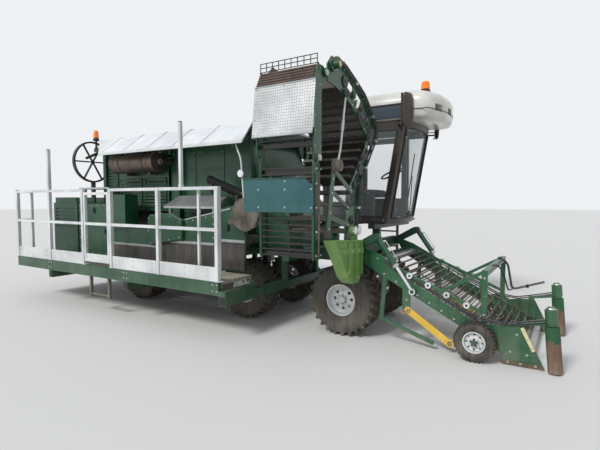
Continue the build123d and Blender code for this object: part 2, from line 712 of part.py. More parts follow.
def muffler():
    """Silencer lying along the right side, with an elbow into the housing and saddles on the engine wall."""
    x0, x1 = MUFFLER_X
    wall = -POST_Y + UPPER_RAIL / 2
    can = rod((x0, MUFFLER_Y, MUFFLER_Z), (x1, MUFFLER_Y, MUFFLER_Z), MUFFLER_RADIUS)
    outlet = rod((x0 - 160, MUFFLER_Y, MUFFLER_Z), (x0, MUFFLER_Y, MUFFLER_Z), 55)
    inlet = rod((x1, MUFFLER_Y, MUFFLER_Z), (x1 + 85, MUFFLER_Y, MUFFLER_Z), 48)
    elbow = rod((x1 + 85, MUFFLER_Y - 40, MUFFLER_Z), (x1 + 85, -HOUSING_HALF_WIDTH, MUFFLER_Z), 48)
    low = MUFFLER_Z - MUFFLER_RADIUS
    saddles = [
        block(x - 20, x + 20, MUFFLER_Y, wall, low - 40, low + 60) for x in (x0 + 250, x1 - 250)
    ]
    return [join([can, outlet, inlet, elbow, *saddles])]


def hoop():
    """Ring guard with spokes behind the canopy, on a post from the cabinet."""
    x, y, z = HOOP_X, HOOP_Y, HOOP_Z
    ring = rod((x, y, z), (x + HOOP_DEPTH, y, z), HOOP_RADIUS)
    ring = ring - rod((x - 10, y, z), (x + HOOP_DEPTH + 10, y, z), HOOP_RADIUS - 30)
    spokes = []
    for i in range(3):
        a = math.pi * i / 3
        dy, dz = math.cos(a) * (HOOP_RADIUS - 10), math.sin(a) * (HOOP_RADIUS - 10)
        spokes.append(bar_yz((y - dy, z - dz), (y + dy, z + dz), 24, x + 15, x + 45))
    post = block(x, x + HOOP_DEPTH, y - 30, y + 30, CABINET_TOP + 100, z - HOOP_RADIUS + 20)
    return [join([ring, *spokes, post])]


def side_box():
    """Tank that stands proud of the right side's panels."""
    return block(-2417, -1960, -PANEL_Y - 90, -PANEL_Y + 160, 1280, 1830)


def trays():
    y0 = -PANEL_Y - 60
    rear = block(-3300, -2430, y0, y0 + 380, 1930, 1960)
    outer = -PANEL_Y - PANEL_THICK
    rear_legs = [block(x - 20, x + 20, outer, outer + 34, 1680, 1930) for x in (-3200, -2530)]
    front = plate_yz([(y0, 1620), (y0 + 20, 1620), (y0 + 320, 1780), (y0 + 320, 1810), (y0, 1650)], -1070, -30)
    front_legs = [
        plate_yz([(-PANEL_Y, 1400), (-PANEL_Y + 16, 1400), (-PANEL_Y + 16, 1650), (-PANEL_Y, 1642)], x - 15, x + 15)
        for x in (-1000, -100)
    ]
    return [join([rear, *rear_legs]), join([front, *front_legs])]


def sorting_belts():
    """Flat belts along both sides, with rounded ends."""
    x0, x1, z, r = -2900, 420, 1130, 60
    outer, inner = -1080, -800
    slab = block(x0, x1, outer, inner, z, z + 2 * r)
    slab = slab + rod((x0, outer, z + r), (x0, inner, z + r), r) + rod((x1, outer, z + r), (x1, inner, z + r), r)
    rests = [block(x - 30, x + 30, outer + 20, inner - 20, RAIL_TOP - CROSS_DROP, z) for x in WIDE_CROSS_X[1:3]]
    right = join([slab, *rests])
    return both_sides(right)


def inner_belts():
    """Sorting belts on both sides and the slats of the elevator's fixed neck."""
    return sorting_belts() + tower_slats()


def octagon_cover():
    """Eight-sided drive cover beside the tower, on a bracket from the panels."""
    cover = Pos(651, -1290, 1555) * Rot(90, 0, 0) * extrude(RegularPolygon(226, 8), amount=40)
    stay = block(330, 900, -1290, -1270, 1420, 1480) + block(330, 380, -1290, -PANEL_Y - PANEL_THICK, 1420, 1480)
    return [cover, stay]


# Elevator tower


def neck_point(station, share):
    """A point across the neck at one station, share 0 on its outer edge and 1 on its inner."""
    (y0, z0), (y1, z1) = NECK_BAND[station]
    return y0 + (y1 - y0) * share, z0 + (z1 - z0) * share


def neck_window(station):
    """Outline of the opening between one station and the next."""
    corners = []
    for share, order in ((NECK_WINDOW[0], (NECK_WEB, 1 - NECK_WEB)), (NECK_WINDOW[1], (1 - NECK_WEB, NECK_WEB))):
        (y0, z0), (y1, z1) = neck_point(station, share), neck_point(station + 1, share)
        corners += [(y0 + (y1 - y0) * t, z0 + (z1 - z0) * t) for t in order]
    return corners


def swan_plate(x0, foot):
    """One side of the neck: a curved band with an opening in each of its panels."""
    outer, inner = [pair[0] for pair in NECK_BAND], [pair[1] for pair in NECK_BAND]
    outline = outer + [(NECK_FOOT[0][0], foot), (NECK_FOOT[1][0], foot)] + inner[::-1]
    y, z = ARM_HINGE
    plate = plate_yz(outline, x0, x0 + TOWER_PLATE)
    plate = join([plate, rod((x0, y, z), (x0 + TOWER_PLATE, y, z), HINGE_RADIUS)])
    for station in range(2, len(NECK_BAND) - 1):
        plate = plate - plate_yz(neck_window(station), x0 - 5, x0 + TOWER_PLATE + 5)
    return plate - rod((x0 - 5, y, z), (x0 + TOWER_PLATE + 5, y, z), PIN_RADIUS + RUN)


def tower_frame():
    """Swan neck of the elevator: two open side plates, their ties, legs and the parts on them."""
    rear = swan_plate(TOWER_REAR, RAIL_TOP - CROSS_DROP)
    front = swan_plate(TOWER_FRONT - TOWER_PLATE, NOSE_TUBE_TOP)
    spots = [neck_point(2, 0.12), neck_point(5, 0.12), neck_point(8, 0.06), (NECK_FOOT[0][0] - 60, NECK_FOOT[0][1] + 60)]
    tubes = [
        block(TOWER_REAR + TOWER_PLATE, TOWER_FRONT - TOWER_PLATE, y - 20, y + 20, z - 20, z + 20) for y, z in spots
    ]
    legs = [neck_leg(TOWER_REAR - TOWER_PLATE), neck_leg(TOWER_FRONT)]
    return [rear, front, *tubes, *legs, *neck_rollers(), head_motor()]


def neck_leg(x0):
    """Braced leg beside the neck, on the outer face of one side plate."""
    x1 = x0 + TOWER_PLATE
    low, knee, head = (-1484, 1390), (-1392, 1900), (-1337, 2119)
    bars = [
        bar_yz(low, knee, 90, x0, x1), bar_yz((-1396, 1870), head, 70, x0, x1),
        bar_yz((-1350, 2090), (-870, 1830), 60, x0, x1), bar_yz((-1450, 1560), (-960, 1430), 60, x0, x1),
        bar_yz((-1400, 1850), (-960, 1640), 44, x0, x1),
    ]
    return join(bars)


def neck_rollers():
    """Bearing housings of the chain's rollers on the front side plate."""
    spots = [neck_point(station, 0.9) for station in (2, 4, 6, 8, 10)]
    return [rod((TOWER_FRONT, y, z), (TOWER_FRONT + 26, y, z), ROLLER_RADIUS) for y, z in spots[:3]] + [
        rod((TOWER_FRONT, y, z), (TOWER_FRONT + 26, y, z), ROLLER_RADIUS) for y, z in spots[3:4]]


def head_motor():
    """Hydraulic motor on the neck's head."""
    y, z = -1372, 3236
    flange = rod((TOWER_FRONT, y, z), (TOWER_FRONT + 24, y, z), 72)
    can = rod((TOWER_FRONT, y, z), (TOWER_FRONT + 96, y, z), 46)
    return join([flange, can, block(TOWER_FRONT + 30, TOWER_FRONT + 84, y - 36, y + 36, z, z + 74)])


def flight_path():
    """Middle line of the flights, as (y, z) points."""
    foot = [(a + b) / 2 for a, b in zip(*NECK_FOOT)]
    return [neck_point(station, 0.55) for station in range(1, len(NECK_BAND))] + [tuple(foot)]


def along(path, pitch):
    """Points and headings every pitch along a broken line."""
    places, left = [], pitch / 2
    for (y0, z0), (y1, z1) in zip(path, path[1:]):
        length = math.hypot(y1 - y0, z1 - z0)
        heading = math.degrees(math.atan2(z1 - z0, y1 - y0))
        while left < length:
            t = left / length
            places.append((y0 + (y1 - y0) * t, z0 + (z1 - z0) * t, heading))
            left += pitch
        left -= length
    return places


def tower_slats():
    """Flights of the elevator with bent lips, from one side plate to the other."""
    x0, x1 = TOWER_REAR + TOWER_PLATE, TOWER_FRONT - TOWER_PLATE
    half = FLIGHT_THICK / 2
    section = [(-half, -50), (half, -50), (half, 128), (36, 128), (36, 128 + FLIGHT_THICK), (-half, 128 + FLIGHT_THICK)]
    flights = []
    for y, z, heading in along(flight_path(), FLIGHT_PITCH):
        dy, dz = math.cos(math.radians(heading)), math.sin(math.radians(heading))
        flights.append(plate_yz([(y + u * dy + v * dz, z + u * dz - v * dy) for u, v in section], x0, x1))
    return flights


def arm_side(x0):
    """One side plate of the hanging unloading arm."""
    ay, az = ARM_HINGE
    ey, ez = END_HINGE
    outline = [
        (-1540, 3190), (-1640, 3190), (-1730, 3010), (-1730, 2260), (ey - 30, ez), (ey + 30, ez),
        (-1570, 2260), (-1570, 3000), (-1480, 3090), (-1480, 3160),
    ]
    plate = plate_yz(outline, x0, x0 + TOWER_PLATE)
    plate = join([plate, rod((x0, ay, az), (x0 + TOWER_PLATE, ay, az), HINGE_RADIUS),
                  rod((x0, ey, ez), (x0 + TOWER_PLATE, ey, ez), HINGE_RADIUS)])
    return plate - rod((x0 - 5, ey, ez), (x0 + TOWER_PLATE + 5, ey, ez), PIN_RADIUS + RUN)


def arm_x():
    """Low and high x of the arm's two side plates."""
    inset = TOWER_PLATE + SIDE_GAP
    return TOWER_REAR + inset, TOWER_FRONT - inset - TOWER_PLATE


def unloader_arm():
    """Hanging arm: two side plates, their pins and ties, and both runs of its chain."""
    rear, front = arm_x()
    y, z = ARM_HINGE
    sides = [join([arm_side(rear), rod((TOWER_REAR, y, z), (rear + 2, y, z), PIN_RADIUS)]),
             join([arm_side(front), rod((front + TOWER_PLATE - 2, y, z), (TOWER_FRONT, y, z), PIN_RADIUS)])]
    ties = [
        block(rear + TOWER_PLATE, front, ty - 25, ty + 25, tz - 25, tz + 25)
        for ty, tz in ((-1590, 3120), (-1650, 2350))
    ]
    webs = [chain_web(rear + TOWER_PLATE, front, run, 2400, 3008, 75) for run in (-1712, -1590)]
    return sides + ties + webs


def chain_web(x0, x1, y, low, high, pitch):
    """One upright run of a chain: rods between two strands."""
    half = ROD_SIZE / 2
    strands = [block(x, x + ROD_SIZE, y - half, y + half, low, high) for x in (x0, x1 - ROD_SIZE)]
    count = int((high - low - ROD_SIZE) / pitch)
    rods = [block(x0, x1, y - half, y + half, low + i * pitch, low + i * pitch + ROD_SIZE) for i in range(count + 1)]
    return join(strands + rods)


def chequer_plate():
    """Bright tread plate on the arm, standing out at its lower edge."""
    outline = [(-1730, 3012), (-1736, 3012), (-1805, 2440), (-1799, 2440)]
    plate = plate_yz(outline, TOWER_REAR + 20, TOWER_FRONT - 4)
    rear, front = arm_x()
    stays = [
        plate_yz([(-1730, 2700), (-1768, 2700), (-1796, 2470), (-1730, 2520)], x, x + TOWER_PLATE)
        for x in (rear, front)
    ]
    return [join([plate, *stays])]


def guard_mesh():
    """Wire guard above the chain, as flat bars in a frame."""
    x0, x1 = TOWER_REAR + 30, TOWER_FRONT - 30
    y0, y1 = -1650, -1642
    bars = [block(x0, x1, y0, y1, z, z + 8) for z in (3196, 3244, 3292)]
    count = 9
    for i in range(count + 1):
        x = x0 + (x1 - x0 - 8) * i / count
        bars.append(block(x, x + 8, y0, y1, 3196, 3300))
    rear, front = arm_x()
    feet = [block(x, x + TOWER_PLATE, y0, y1 + 20, 3190, 3204) for x in (rear, front)]
    return [join([*bars, *feet])]


def end_x():
    rear, front = arm_x()
    inset = TOWER_PLATE + SIDE_GAP
    return rear + inset, front - inset


def end_side(x0):
    ey, ez = END_HINGE
    outline = [(ey - 30, ez), (-1700, 2130), (-1700, 1090), (-1560, 1090), (-1560, 2130), (ey + 30, ez)]
    plate = plate_yz(outline, x0, x0 + TOWER_PLATE)
    return join([plate, rod((x0, ey, ez), (x0 + TOWER_PLATE, ey, ez), HINGE_RADIUS)])


def unloader_end():
    """Lower section of the arm, with its own hinge, ties and chain runs."""
    rear, front = end_x()
    arm_rear, arm_front = arm_x()
    y, z = END_HINGE
    sides = [join([end_side(rear), rod((arm_rear, y, z), (rear + 2, y, z), PIN_RADIUS)]),
             join([end_side(front), rod((front + TOWER_PLATE - 2, y, z), (arm_front + TOWER_PLATE, y, z), PIN_RADIUS)])]
    ties = [
        block(rear + TOWER_PLATE, front, ty - 25, ty + 25, tz - 25, tz + 25)
        for ty, tz in ((-1630, 2060), (-1630, 1130))
    ]
    webs = [chain_web(rear + TOWER_PLATE, front, run, 1110, 2110, 70) for run in (-1688, -1580)]
    return sides + ties + webs


def teal_panel():
    """Pressed shield across the end section."""
    points = [(957, 1992), (1780, 1992), (1902, 1900), (1902, 1604), (957, 1604)]
    return [plate_xz(points, -1712, -1700)]


def discharge_boot():
    """Yellow-green hopper in front of the tower, with ribs and two round lamps on a yoke."""
    rear, front = TOWER_FRONT, TOWER_FRONT + 150
    hopper = plate_yz([
        (-1580, 1300), (-856, 1256), (-856, 1040), (-890, 850), (-970, 760), (-1110, 760), (-1230, 840), (-1440, 1130),
    ], rear, front)
    band = plate_yz([(-1500, 1205), (-856, 1168), (-856, 1103), (-1440, 1137)], rear, front + 14)
    ribs = [plate_yz([(y - 16, low), (y + 16, low), (y + 16, 1255), (y - 16, 1255)], rear, front + 22)
            for y, low in ((-1250, 900), (-1080, 800), (-910, 850))]
    yoke = plate_yz([(-1010, 1255), (-880, 1250), (-900, 1330), (-990, 1330)], rear + 60, rear + 80)
    discs = [rod((rear + 60, y, 1378), (rear + 118, y, 1378), 52) for y in (-1000, -886)]
    return [join([hopper, band, *ribs, yoke, *discs])]


# Header


def belt_point(s, rise):
    """A point s along the belt's middle line and rise above it, as (x, z)."""
    dx, dz = BELT_FRONT[0] - BELT_REAR[0], BELT_FRONT[1] - BELT_REAR[1]
    length = math.hypot(dx, dz)
    ux, uz = dx / length, dz / length
    return (BELT_REAR[0] + ux * s - uz * rise, BELT_REAR[1] + uz * s + ux * rise)


def belt_length():
    return math.hypot(BELT_FRONT[0] - BELT_REAR[0], BELT_FRONT[1] - BELT_REAR[1])


def belt_z(x, rise=0.0):
    """Height of the belt's middle line at x, plus a height above it."""
    slope = (BELT_FRONT[1] - BELT_REAR[1]) / (BELT_FRONT[0] - BELT_REAR[0])
    return BELT_REAR[1] + (x - BELT_REAR[0]) * slope + rise


def header_side():
    """Right side of the header frame with its hinge arm, guide rail, brackets and portal post."""
    x0, z0 = HEADER_HINGE
    run = (FRAME_END_X - BELT_REAR[0]) / (BELT_FRONT[0] - BELT_REAR[0]) * belt_length()
    y0, y1 = -HEADER_Y - HEADER_PLATE, -HEADER_Y
    outline = [
        (x0, z0 + 40), belt_point(0, REAR_RISE), belt_point(330, REAR_RISE), belt_point(430, FRAME_RISE),
        belt_point(run, FRAME_RISE), belt_point(run, -FRAME_DROP), belt_point(-40, -FRAME_DROP), (x0, z0 - 40),
    ]
    pieces = [plate_xz(outline, y0, y1), rod((x0, y0, z0), (x0, y1, z0), 40)]
    pieces.append(rod((x0, y0 - SIDE_GAP - TOWER_PLATE, z0), (x0, y1 + SIDE_GAP + TOWER_PLATE, z0), PIN_RADIUS))
    # gauge wheel bracket and axle
    pieces.append(plate_xz([
        (GAUGE_X - 90, belt_z(GAUGE_X - 90)), (GAUGE_X + 60, belt_z(GAUGE_X + 60)),
        (GAUGE_X + 40, GAUGE_RADIUS - 40), (GAUGE_X - 40, GAUGE_RADIUS - 40),
    ], y0, y1))
    pieces.append(rod((GAUGE_X, -GAUGE_Y + GAUGE_WIDTH / 2 - 60, GAUGE_RADIUS), (GAUGE_X, y0 + 5, GAUGE_RADIUS), 20))
    # hangers of the yellow strut and of the skid tube below the frame
    pieces.append(plate_xz([(2560, belt_z(2560)), (2660, belt_z(2660)), (2650, 420), (2560, 420)], y0, y1))
    pieces.append(bar_xz((2296, 285), (2345, belt_z(2345)), 50, y0, y1))
    pieces.append(bar_xz((2290, 296), (2935, 90), 46, y0, y1))
    # guide rail on uprights, with the raised plate behind the nose
    (rx0, rz0), (rx1, rz1) = GUIDE_RAIL
    pieces.append(bar_xz((rx0, rz0), (rx1, rz1), 36, y0, y1))
    for x in (2760, 2970, 3190):
        top = rz0 + (x - rx0) * (rz1 - rz0) / (rx1 - rx0)
        pieces.append(block(x - 15, x + 15, y0, y1, belt_z(x), top))
    pieces.append(plate_xz([(3450, belt_z(3450)), (FRAME_END_X, belt_z(FRAME_END_X)), (FRAME_END_X + 20, 440),
                            (3500, 400)], y0, y1))
    # portal post and its stay
    pieces.append(block(3440, 3500, y0, y1, belt_z(3470), 985))
    pieces.append(bar_xz((3450, 960), (3010, 705), 38, y0, y1))
    # lug of the lift cylinder: a boss on the frame that carries the pin
    ex, ez = LIFT_EYE
    boss_in = -LIFT_Y + EYE_WIDTH / 2 + SIDE_GAP
    pieces.append(rod((ex, y0 + 5, ez), (ex, boss_in, ez), 34))
    pieces.append(rod((ex, boss_in + 5, ez), (ex, -LIFT_Y - EYE_WIDTH / 2 - 6, ez), LUG_PIN))
    return join(pieces)


def header_frame():
    """Two sides of the header and the ties between them."""
    inside = HEADER_Y
    lower = belt_point(1295, -FRAME_DROP + 25)
    ties = [
        block(3440, 3500, -inside, inside, 925, 985),
        block(2080, 2140, -inside, inside, 975, 1025),
        block(lower[0] - 20, lower[0] + 20, -inside, inside, lower[1] - 20, lower[1] + 20),
    ]
    return [header_side(), on_left(header_side()), *ties]


def pickup_rods():
    """Upper and lower run of the pickup chain: rods between two strands, laid on both rollers."""
    half = ROD_SIZE / 2
    webs = []
    for side in (1, -1):
        rise = side * (BELT_ROLLER + RUN + half)
        start, end = belt_point(60, rise), belt_point(belt_length(), rise)
        inside = HEADER_Y
        strands = [bar_xz(start, end, ROD_SIZE, y, y + 16) for y in (-inside, inside - 16)]
        count = int((belt_length() - 60 - ROD_SIZE) / ROD_PITCH)
        rods = [
            bar_xz(belt_point(66 + i * ROD_PITCH - half, rise), belt_point(66 + i * ROD_PITCH + half, rise),
                   ROD_SIZE, -inside, inside)
            for i in range(count + 1)
        ]
        webs.append(join(strands + rods))
    return webs


def header_rollers():
    """Both rollers of the pickup chain and the idlers on brackets along the guide rail."""
    rear = belt_point(60, 0)
    rollers = [rod((rear[0], -HEADER_Y, rear[1]), (rear[0], HEADER_Y, rear[1]), BELT_ROLLER)]
    rollers.append(rod((BELT_FRONT[0], -HEADER_Y - HEADER_PLATE, BELT_FRONT[1]),
                       (BELT_FRONT[0], HEADER_Y + HEADER_PLATE, BELT_FRONT[1]), BELT_ROLLER))
    face = -HEADER_Y - HEADER_PLATE
    (rx0, rz0), (rx1, rz1) = GUIDE_RAIL
    for x in (2650, 2868, 3078, 3294):
        z = rz0 + (x - rx0) * (rz1 - rz0) / (rx1 - rx0)
        rollers += both_sides(rod((x, face - 26, z), (x, face, z), IDLER_RADIUS))
    return rollers


def divider_point(distance, side=-1):
    """A point up the leaning axis of a divider from its foot, as (x, y, z)."""
    lean = math.radians(DIVIDER_LEAN)
    return DIVIDER_X - distance * math.sin(lean), side * DIVIDER_Y, FLOOR_GAP + distance * math.cos(lean)


def nose_plates():
    """Three-cornered side plates at the tip, each with the arm, pin and motor of its divider."""
    y1 = -HEADER_Y - HEADER_PLATE
    y0 = y1 - 12
    plate = plate_xz([(3645, FLOOR_GAP), (4062, FLOOR_GAP), (3836, 478), (3796, 478)], y0, y1)
    shoe = plate_xz([(3655, FLOOR_GAP), (4062, FLOOR_GAP), (4042, 60), (3669, 60)], y0 - 8, y0)
    low = DIVIDER_LENGTH + SIDE_GAP
    arm = bar_xz((3805, 455), (4095, 505), 32, y0 - 16, y0)
    ear = rod(divider_point(low), divider_point(low + 24), 52)
    motor = rod(divider_point(low + 24), divider_point(low + 165), 60)
    cap = rod(divider_point(low + 165), divider_point(low + 190), 34)
    pin = rod(divider_point(low - 70), divider_point(low + 10), DIVIDER_PIN)
    return both_sides(join([plate, shoe, arm, ear, motor, cap, pin]))


def divider(side):
    """Leaning roller that hangs on the pin below its motor."""
    body = rod(divider_point(0, side), divider_point(DIVIDER_LENGTH, side), DIVIDER_RADIUS)
    low = DIVIDER_LENGTH + SIDE_GAP - 80
    return [body - rod(divider_point(low, side), divider_point(DIVIDER_LENGTH + 10, side), DIVIDER_PIN + RUN)]


def yellow_struts():
    """Yellow strut below each side of the header with its hook and eye, and the strip on the nose plate."""
    y1 = -HEADER_Y - HEADER_PLATE
    strut = bar_xz((2612, 452), (3118, 122), 78, y1 - 10, y1)
    hook = bar_xz((2560, 392), (2640, 462), 46, y1 - 10, y1)
    tip = rod((3118, y1 - 10, 122), (3118, y1, 122), 42)
    strip = bar_xz((3846, 420), (3959, 190), 30, y1 - 20, y1 - 12)
    return both_sides(join([strut, hook, tip])) + both_sides(strip)


def gauge_wheel(side):
    """Tyre and drilled rim of one gauge wheel, side -1 on the right and 1 on the left."""
    place = Pos(GAUGE_X, side * GAUGE_Y, GAUGE_RADIUS) * Rot(0, 0, 0 if side < 0 else 180)
    rubber = tyre(GAUGE_RADIUS, GAUGE_WIDTH, GAUGE_WIDTH - 20, GAUGE_RIM_RADIUS)
    steel = rim(GAUGE_RIM_RADIUS - RUN, GAUGE_WIDTH - 20, 100, 30)
    steel = steel - rod((0, 0, 0), (0, GAUGE_WIDTH, 0), 20 + RUN)
    return place * rubber, place * steel


def lift_line(distance):
    """A point down the lift cylinder's axis from its upper pin, as (x, z)."""
    dx, dz = LIFT_EYE[0] - LIFT_TOP[0], LIFT_EYE[1] - LIFT_TOP[1]
    length = math.hypot(dx, dz)
    return LIFT_TOP[0] + dx / length * distance, LIFT_TOP[1] + dz / length * distance


def lift_length():
    return math.hypot(LIFT_EYE[0] - LIFT_TOP[0], LIFT_EYE[1] - LIFT_TOP[1])


def eye(point):
    x, z = point
    half = EYE_WIDTH / 2
    return rod((x, -LIFT_Y - half, z), (x, -LIFT_Y + half, z), EYE_RADIUS)


def eye_hole(point, radius):
    x, z = point
    return rod((x, -LIFT_Y - 50, z), (x, -LIFT_Y + 50, z), radius)


def lift_barrel():
    start, end = lift_line(30), lift_line(BARREL_LENGTH)
    base = lift_line(BARREL_BASE)
    past = lift_line(BARREL_LENGTH + 10)
    barrel = rod((start[0], -LIFT_Y, start[1]), (end[0], -LIFT_Y, end[1]), BARREL_RADIUS)
    barrel = join([barrel, eye(LIFT_TOP)])
    barrel = barrel - eye_hole(LIFT_TOP, LUG_PIN + RUN)
    return barrel - rod((base[0], -LIFT_Y, base[1]), (past[0], -LIFT_Y, past[1]), ROD_RADIUS + RUN)


def lift_rod():
    start, end = lift_line(BARREL_LENGTH - ROD_INSIDE), lift_line(lift_length() - 30)
    shaft = rod((start[0], -LIFT_Y, start[1]), (end[0], -LIFT_Y, end[1]), ROD_RADIUS)
    return join([shaft, eye(LIFT_EYE)]) - eye_hole(LIFT_EYE, EYE_HOLE)


# Cab


def cab_section(z, front, inset):
    """Plan of the cab at height z: straight sides and rear, bowed front."""
    x0, x1 = CAB_REAR + inset, front - inset
    y0, y1 = CAB_RIGHT + inset, CAB_LEFT - inset
    sides = Polyline([(x1, y0, z), (x0, y0, z), (x0, y1, z), (x1, y1, z)])
    bow = ThreePointArc((x1, y1, z), (x1 + CAB_BOW, (y0 + y1) / 2, z), (x1, y0, z))
    return make_face([*sides.edges(), bow])


def cab_hull(inset, low, high):
    """Solid between two plans, leaning forward as it rises."""
    lean = (CAB_FRONT_HIGH - CAB_FRONT_LOW) / (CAB_HEAD - CAB_FLOOR)
    sections = [cab_section(z, CAB_FRONT_LOW + (z - CAB_FLOOR) * lean, inset) for z in (low, high)]
    return loft(sections, ruled=True)


def window_cuts(grow):
    """Blocks through the cab's walls where its windows are."""
    g = grow
    rows = [  # x0, x1, y0, y1, z0, z1
        (1150, 1900, CAB_RIGHT - 40, CAB_RIGHT + 90, 1700, 2760),
        (1860, 2500, CAB_RIGHT + 90, CAB_LEFT - 90, 1480, 2760),
        (CAB_REAR - 40, CAB_REAR + 90, CAB_RIGHT + 120, CAB_LEFT - 120, 1700, 2760),
    ]
    cuts = []
    for x0, x1, y0, y1, z0, z1 in rows:
        cuts.append(block(x0 - g, x1 + g, y0 - g, y1 + g, z0 - g, z1 + g))
    return cuts


def door_cut(grow):
    return block(1080 - grow, 1880 + grow, CAB_LEFT - 90, CAB_LEFT + 40, CAB_FLOOR + 60 - grow, 2780 + grow)


def cab_shell():
    shell = cab_hull(0, CAB_FLOOR, CAB_HEAD) - cab_hull(CAB_WALL, CAB_FLOOR + 40, CAB_HEAD + 40)
    for cut in window_cuts(0):
        shell = shell - cut
    shell = shell - door_cut(GATE_GAP)
    x, y = DOOR_HINGE
    pieces = [shell]
    for z in DOOR_HINGE_Z:
        pieces.append(fixed_knuckle(x, y, z))
        pieces.append(block(x - 26, x - HINGE_PIN - 1, CAB_LEFT, y + 5, z - KNUCKLE_HEIGHT, z - 2))
    return [join(pieces)]


def cab_glass():
    thin = cab_hull(10, CAB_FLOOR, CAB_HEAD) - cab_hull(10 + GLASS_THICK, CAB_FLOOR - 10, CAB_HEAD + 10)
    return [thin & cut for cut in window_cuts(-RUN)]


def cab_door():
    """Left door: a frame round its own window, hinged at its rear edge."""
    wall = cab_hull(0, CAB_FLOOR, CAB_HEAD) - cab_hull(CAB_WALL, CAB_FLOOR - 10, CAB_HEAD + 10)
    leaf = wall & door_cut(0)
    window = block(1160, 1800, CAB_LEFT - 100, CAB_LEFT + 50, 1760, 2700)
    x, y = DOOR_HINGE
    pieces = [leaf - window]
    for z in DOOR_HINGE_Z:
        pieces.append(moving_knuckle(x, y, z))
        pieces.append(block(x, x + 30, CAB_LEFT, y + 5, z, z + KNUCKLE_HEIGHT))
    return [join(pieces)]


def roof_section(z, inset):
    x0, x1 = CAB_REAR - 50 + inset, ROOF_FRONT - inset
    y0, y1 = CAB_RIGHT - 40 + inset, CAB_LEFT + 40 - inset
    sides = Polyline([(x1, y0, z), (x0, y0, z), (x0, y1, z), (x1, y1, z)])
    bow = ThreePointArc((x1, y1, z), (x1 + 140, (y0 + y1) / 2, z), (x1, y0, z))
    return make_face([*sides.edges(), bow])


def cab_roof():
    lower = loft([roof_section(CAB_HEAD, 30), roof_section(CAB_HEAD + 120, 0)], ruled=True)
    middle = loft([roof_section(CAB_HEAD + 120, 0), roof_section(ROOF_SHOULDER, 0)], ruled=True)
    upper = loft([roof_section(ROOF_SHOULDER, 0), roof_section(ROOF_TOP, 170)], ruled=True)
    roof = join([lower, middle, upper])
    for y in (430, 820, 1210):
        roof = roof - block(ROOF_FRONT - 10, ROOF_FRONT + 300, y - 90, y + 90, 2960, 3060)
    return [roof]


def cab_interior():
    """Seat, console and steering wheel on the cab's floor."""
    floor = CAB_FLOOR + 40
    seat = join([
        block(1250, 1500, 700, 940, floor, floor + 350),
        block(1200, 1680, 580, 1060, floor + 350, floor + 460),
        plate_xz([(1180, floor + 420), (1290, floor + 420), (1230, floor + 1050), (1130, floor + 1050)], 600, 1040),
    ])
    column = plate_xz([(1840, floor), (1930, floor), (1880, floor + 715), (1800, floor + 695)], 780, 860)
    disc = extrude(RegularPolygon(190, 16) - RegularPolygon(160, 16), amount=24) + extrude(
        Rectangle(330, 40) + Rectangle(40, 330), amount=20)
    wheel_ring = Pos(1838, 820, floor + 700) * Rot(0, -25, 0) * disc
    return [seat, join([column, wheel_ring])]


def mirrors():
    """Tall mirrors on stub arms at both front pillars."""
    x = 2290
    head = block(x, x + 60, 20, 150, 2740, 3140)
    arm = block(2150, x + 30, 130, 150, 2780, 2810) + block(2150, 2180, 130, CAB_RIGHT, 2780, 2810)
    right = join([head, arm])
    middle = (CAB_RIGHT + CAB_LEFT) / 2
    return [right, mirror(right, about=Plane((0, middle, 0), z_dir=(0, 1, 0)))]


def beacons():
    front = rod((2400, 620, ROOF_TOP), (2400, 620, ROOF_TOP + 160), 60)
    rear = rod((-3390, -POST_Y, UPPER_RAIL_Z), (-3390, -POST_Y, 2850), 20)
    rear = rear + rod((-3390, -POST_Y, 2840), (-3390, -POST_Y, 3050), 55)
    return [front, rear]


def main():
    os.makedirs("parts", exist_ok=True)
    road_wheels()
    save("axles", [*fixed_axles(), rear_axle()])
    for side, name in ((-1, "right"), (1, "left")):
        save(f"rear_{name}_knuckle", [knuckle(side)])
        rubber, steel = gauge_wheel(side)
        save(f"gauge_{name}_tyre", [rubber])
        save(f"gauge_{name}_rim", [steel])
        save(f"divider_{name}", divider(side))
    rows = [  # node, the function that makes its solids
        ("main_frame", main_frame), ("outriggers", outriggers), ("decks", decks),
        ("side_gate", side_gate), ("end_gate", end_gate), ("ladders", ladders),
        ("side_panels", side_panels), ("upper_frame", upper_frame), ("canopy", canopy),
        ("rear_cabinet", rear_cabinet), ("separator_housing", separator_housing),
        ("engine_block", engine_block), ("muffler", muffler), ("ring_guard", hoop),
        ("trays", trays), ("inner_belts", inner_belts), ("octagon_cover", octagon_cover),
        ("tower_frame", tower_frame),
        ("unloader_arm", unloader_arm), ("chequer_plate", chequer_plate), ("guard_mesh", guard_mesh),
        ("unloader_end", unloader_end), ("teal_panel", teal_panel), ("discharge_boot", discharge_boot),
        ("header_frame", header_frame), ("pickup_rods", pickup_rods), ("header_rollers", header_rollers),
        ("nose_plates", nose_plates), ("yellow_struts", yellow_struts),
        ("cab_shell", cab_shell), ("cab_glass", cab_glass), ("cab_door", cab_door),
        ("cab_roof", cab_roof), ("cab_interior", cab_interior), ("mirrors", mirrors), ("beacons", beacons),
    ]
    for name, make in rows:
        save(name, make())
    save("railings", [*railing(), *railing_hinges(), *[on_left(tube) for tube in railing()]])
    save("lift_barrels", both_sides(lift_barrel()))
    save("lift_rods", both_sides(lift_rod()))


main()
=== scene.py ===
# %% [markdown]
# # A tomato harvester, dressed for its picture
# The CAD model gives every rigid piece its true place and size. This file adds what a
# photograph of the machine shows on top of that: paint, dust, tread, mesh, hoses and bolts.
# Each step first says what the real thing is, and then why it is made this way in Blender.

# %% Load the frame
import math

import bpy
from mathutils import Matrix, Vector


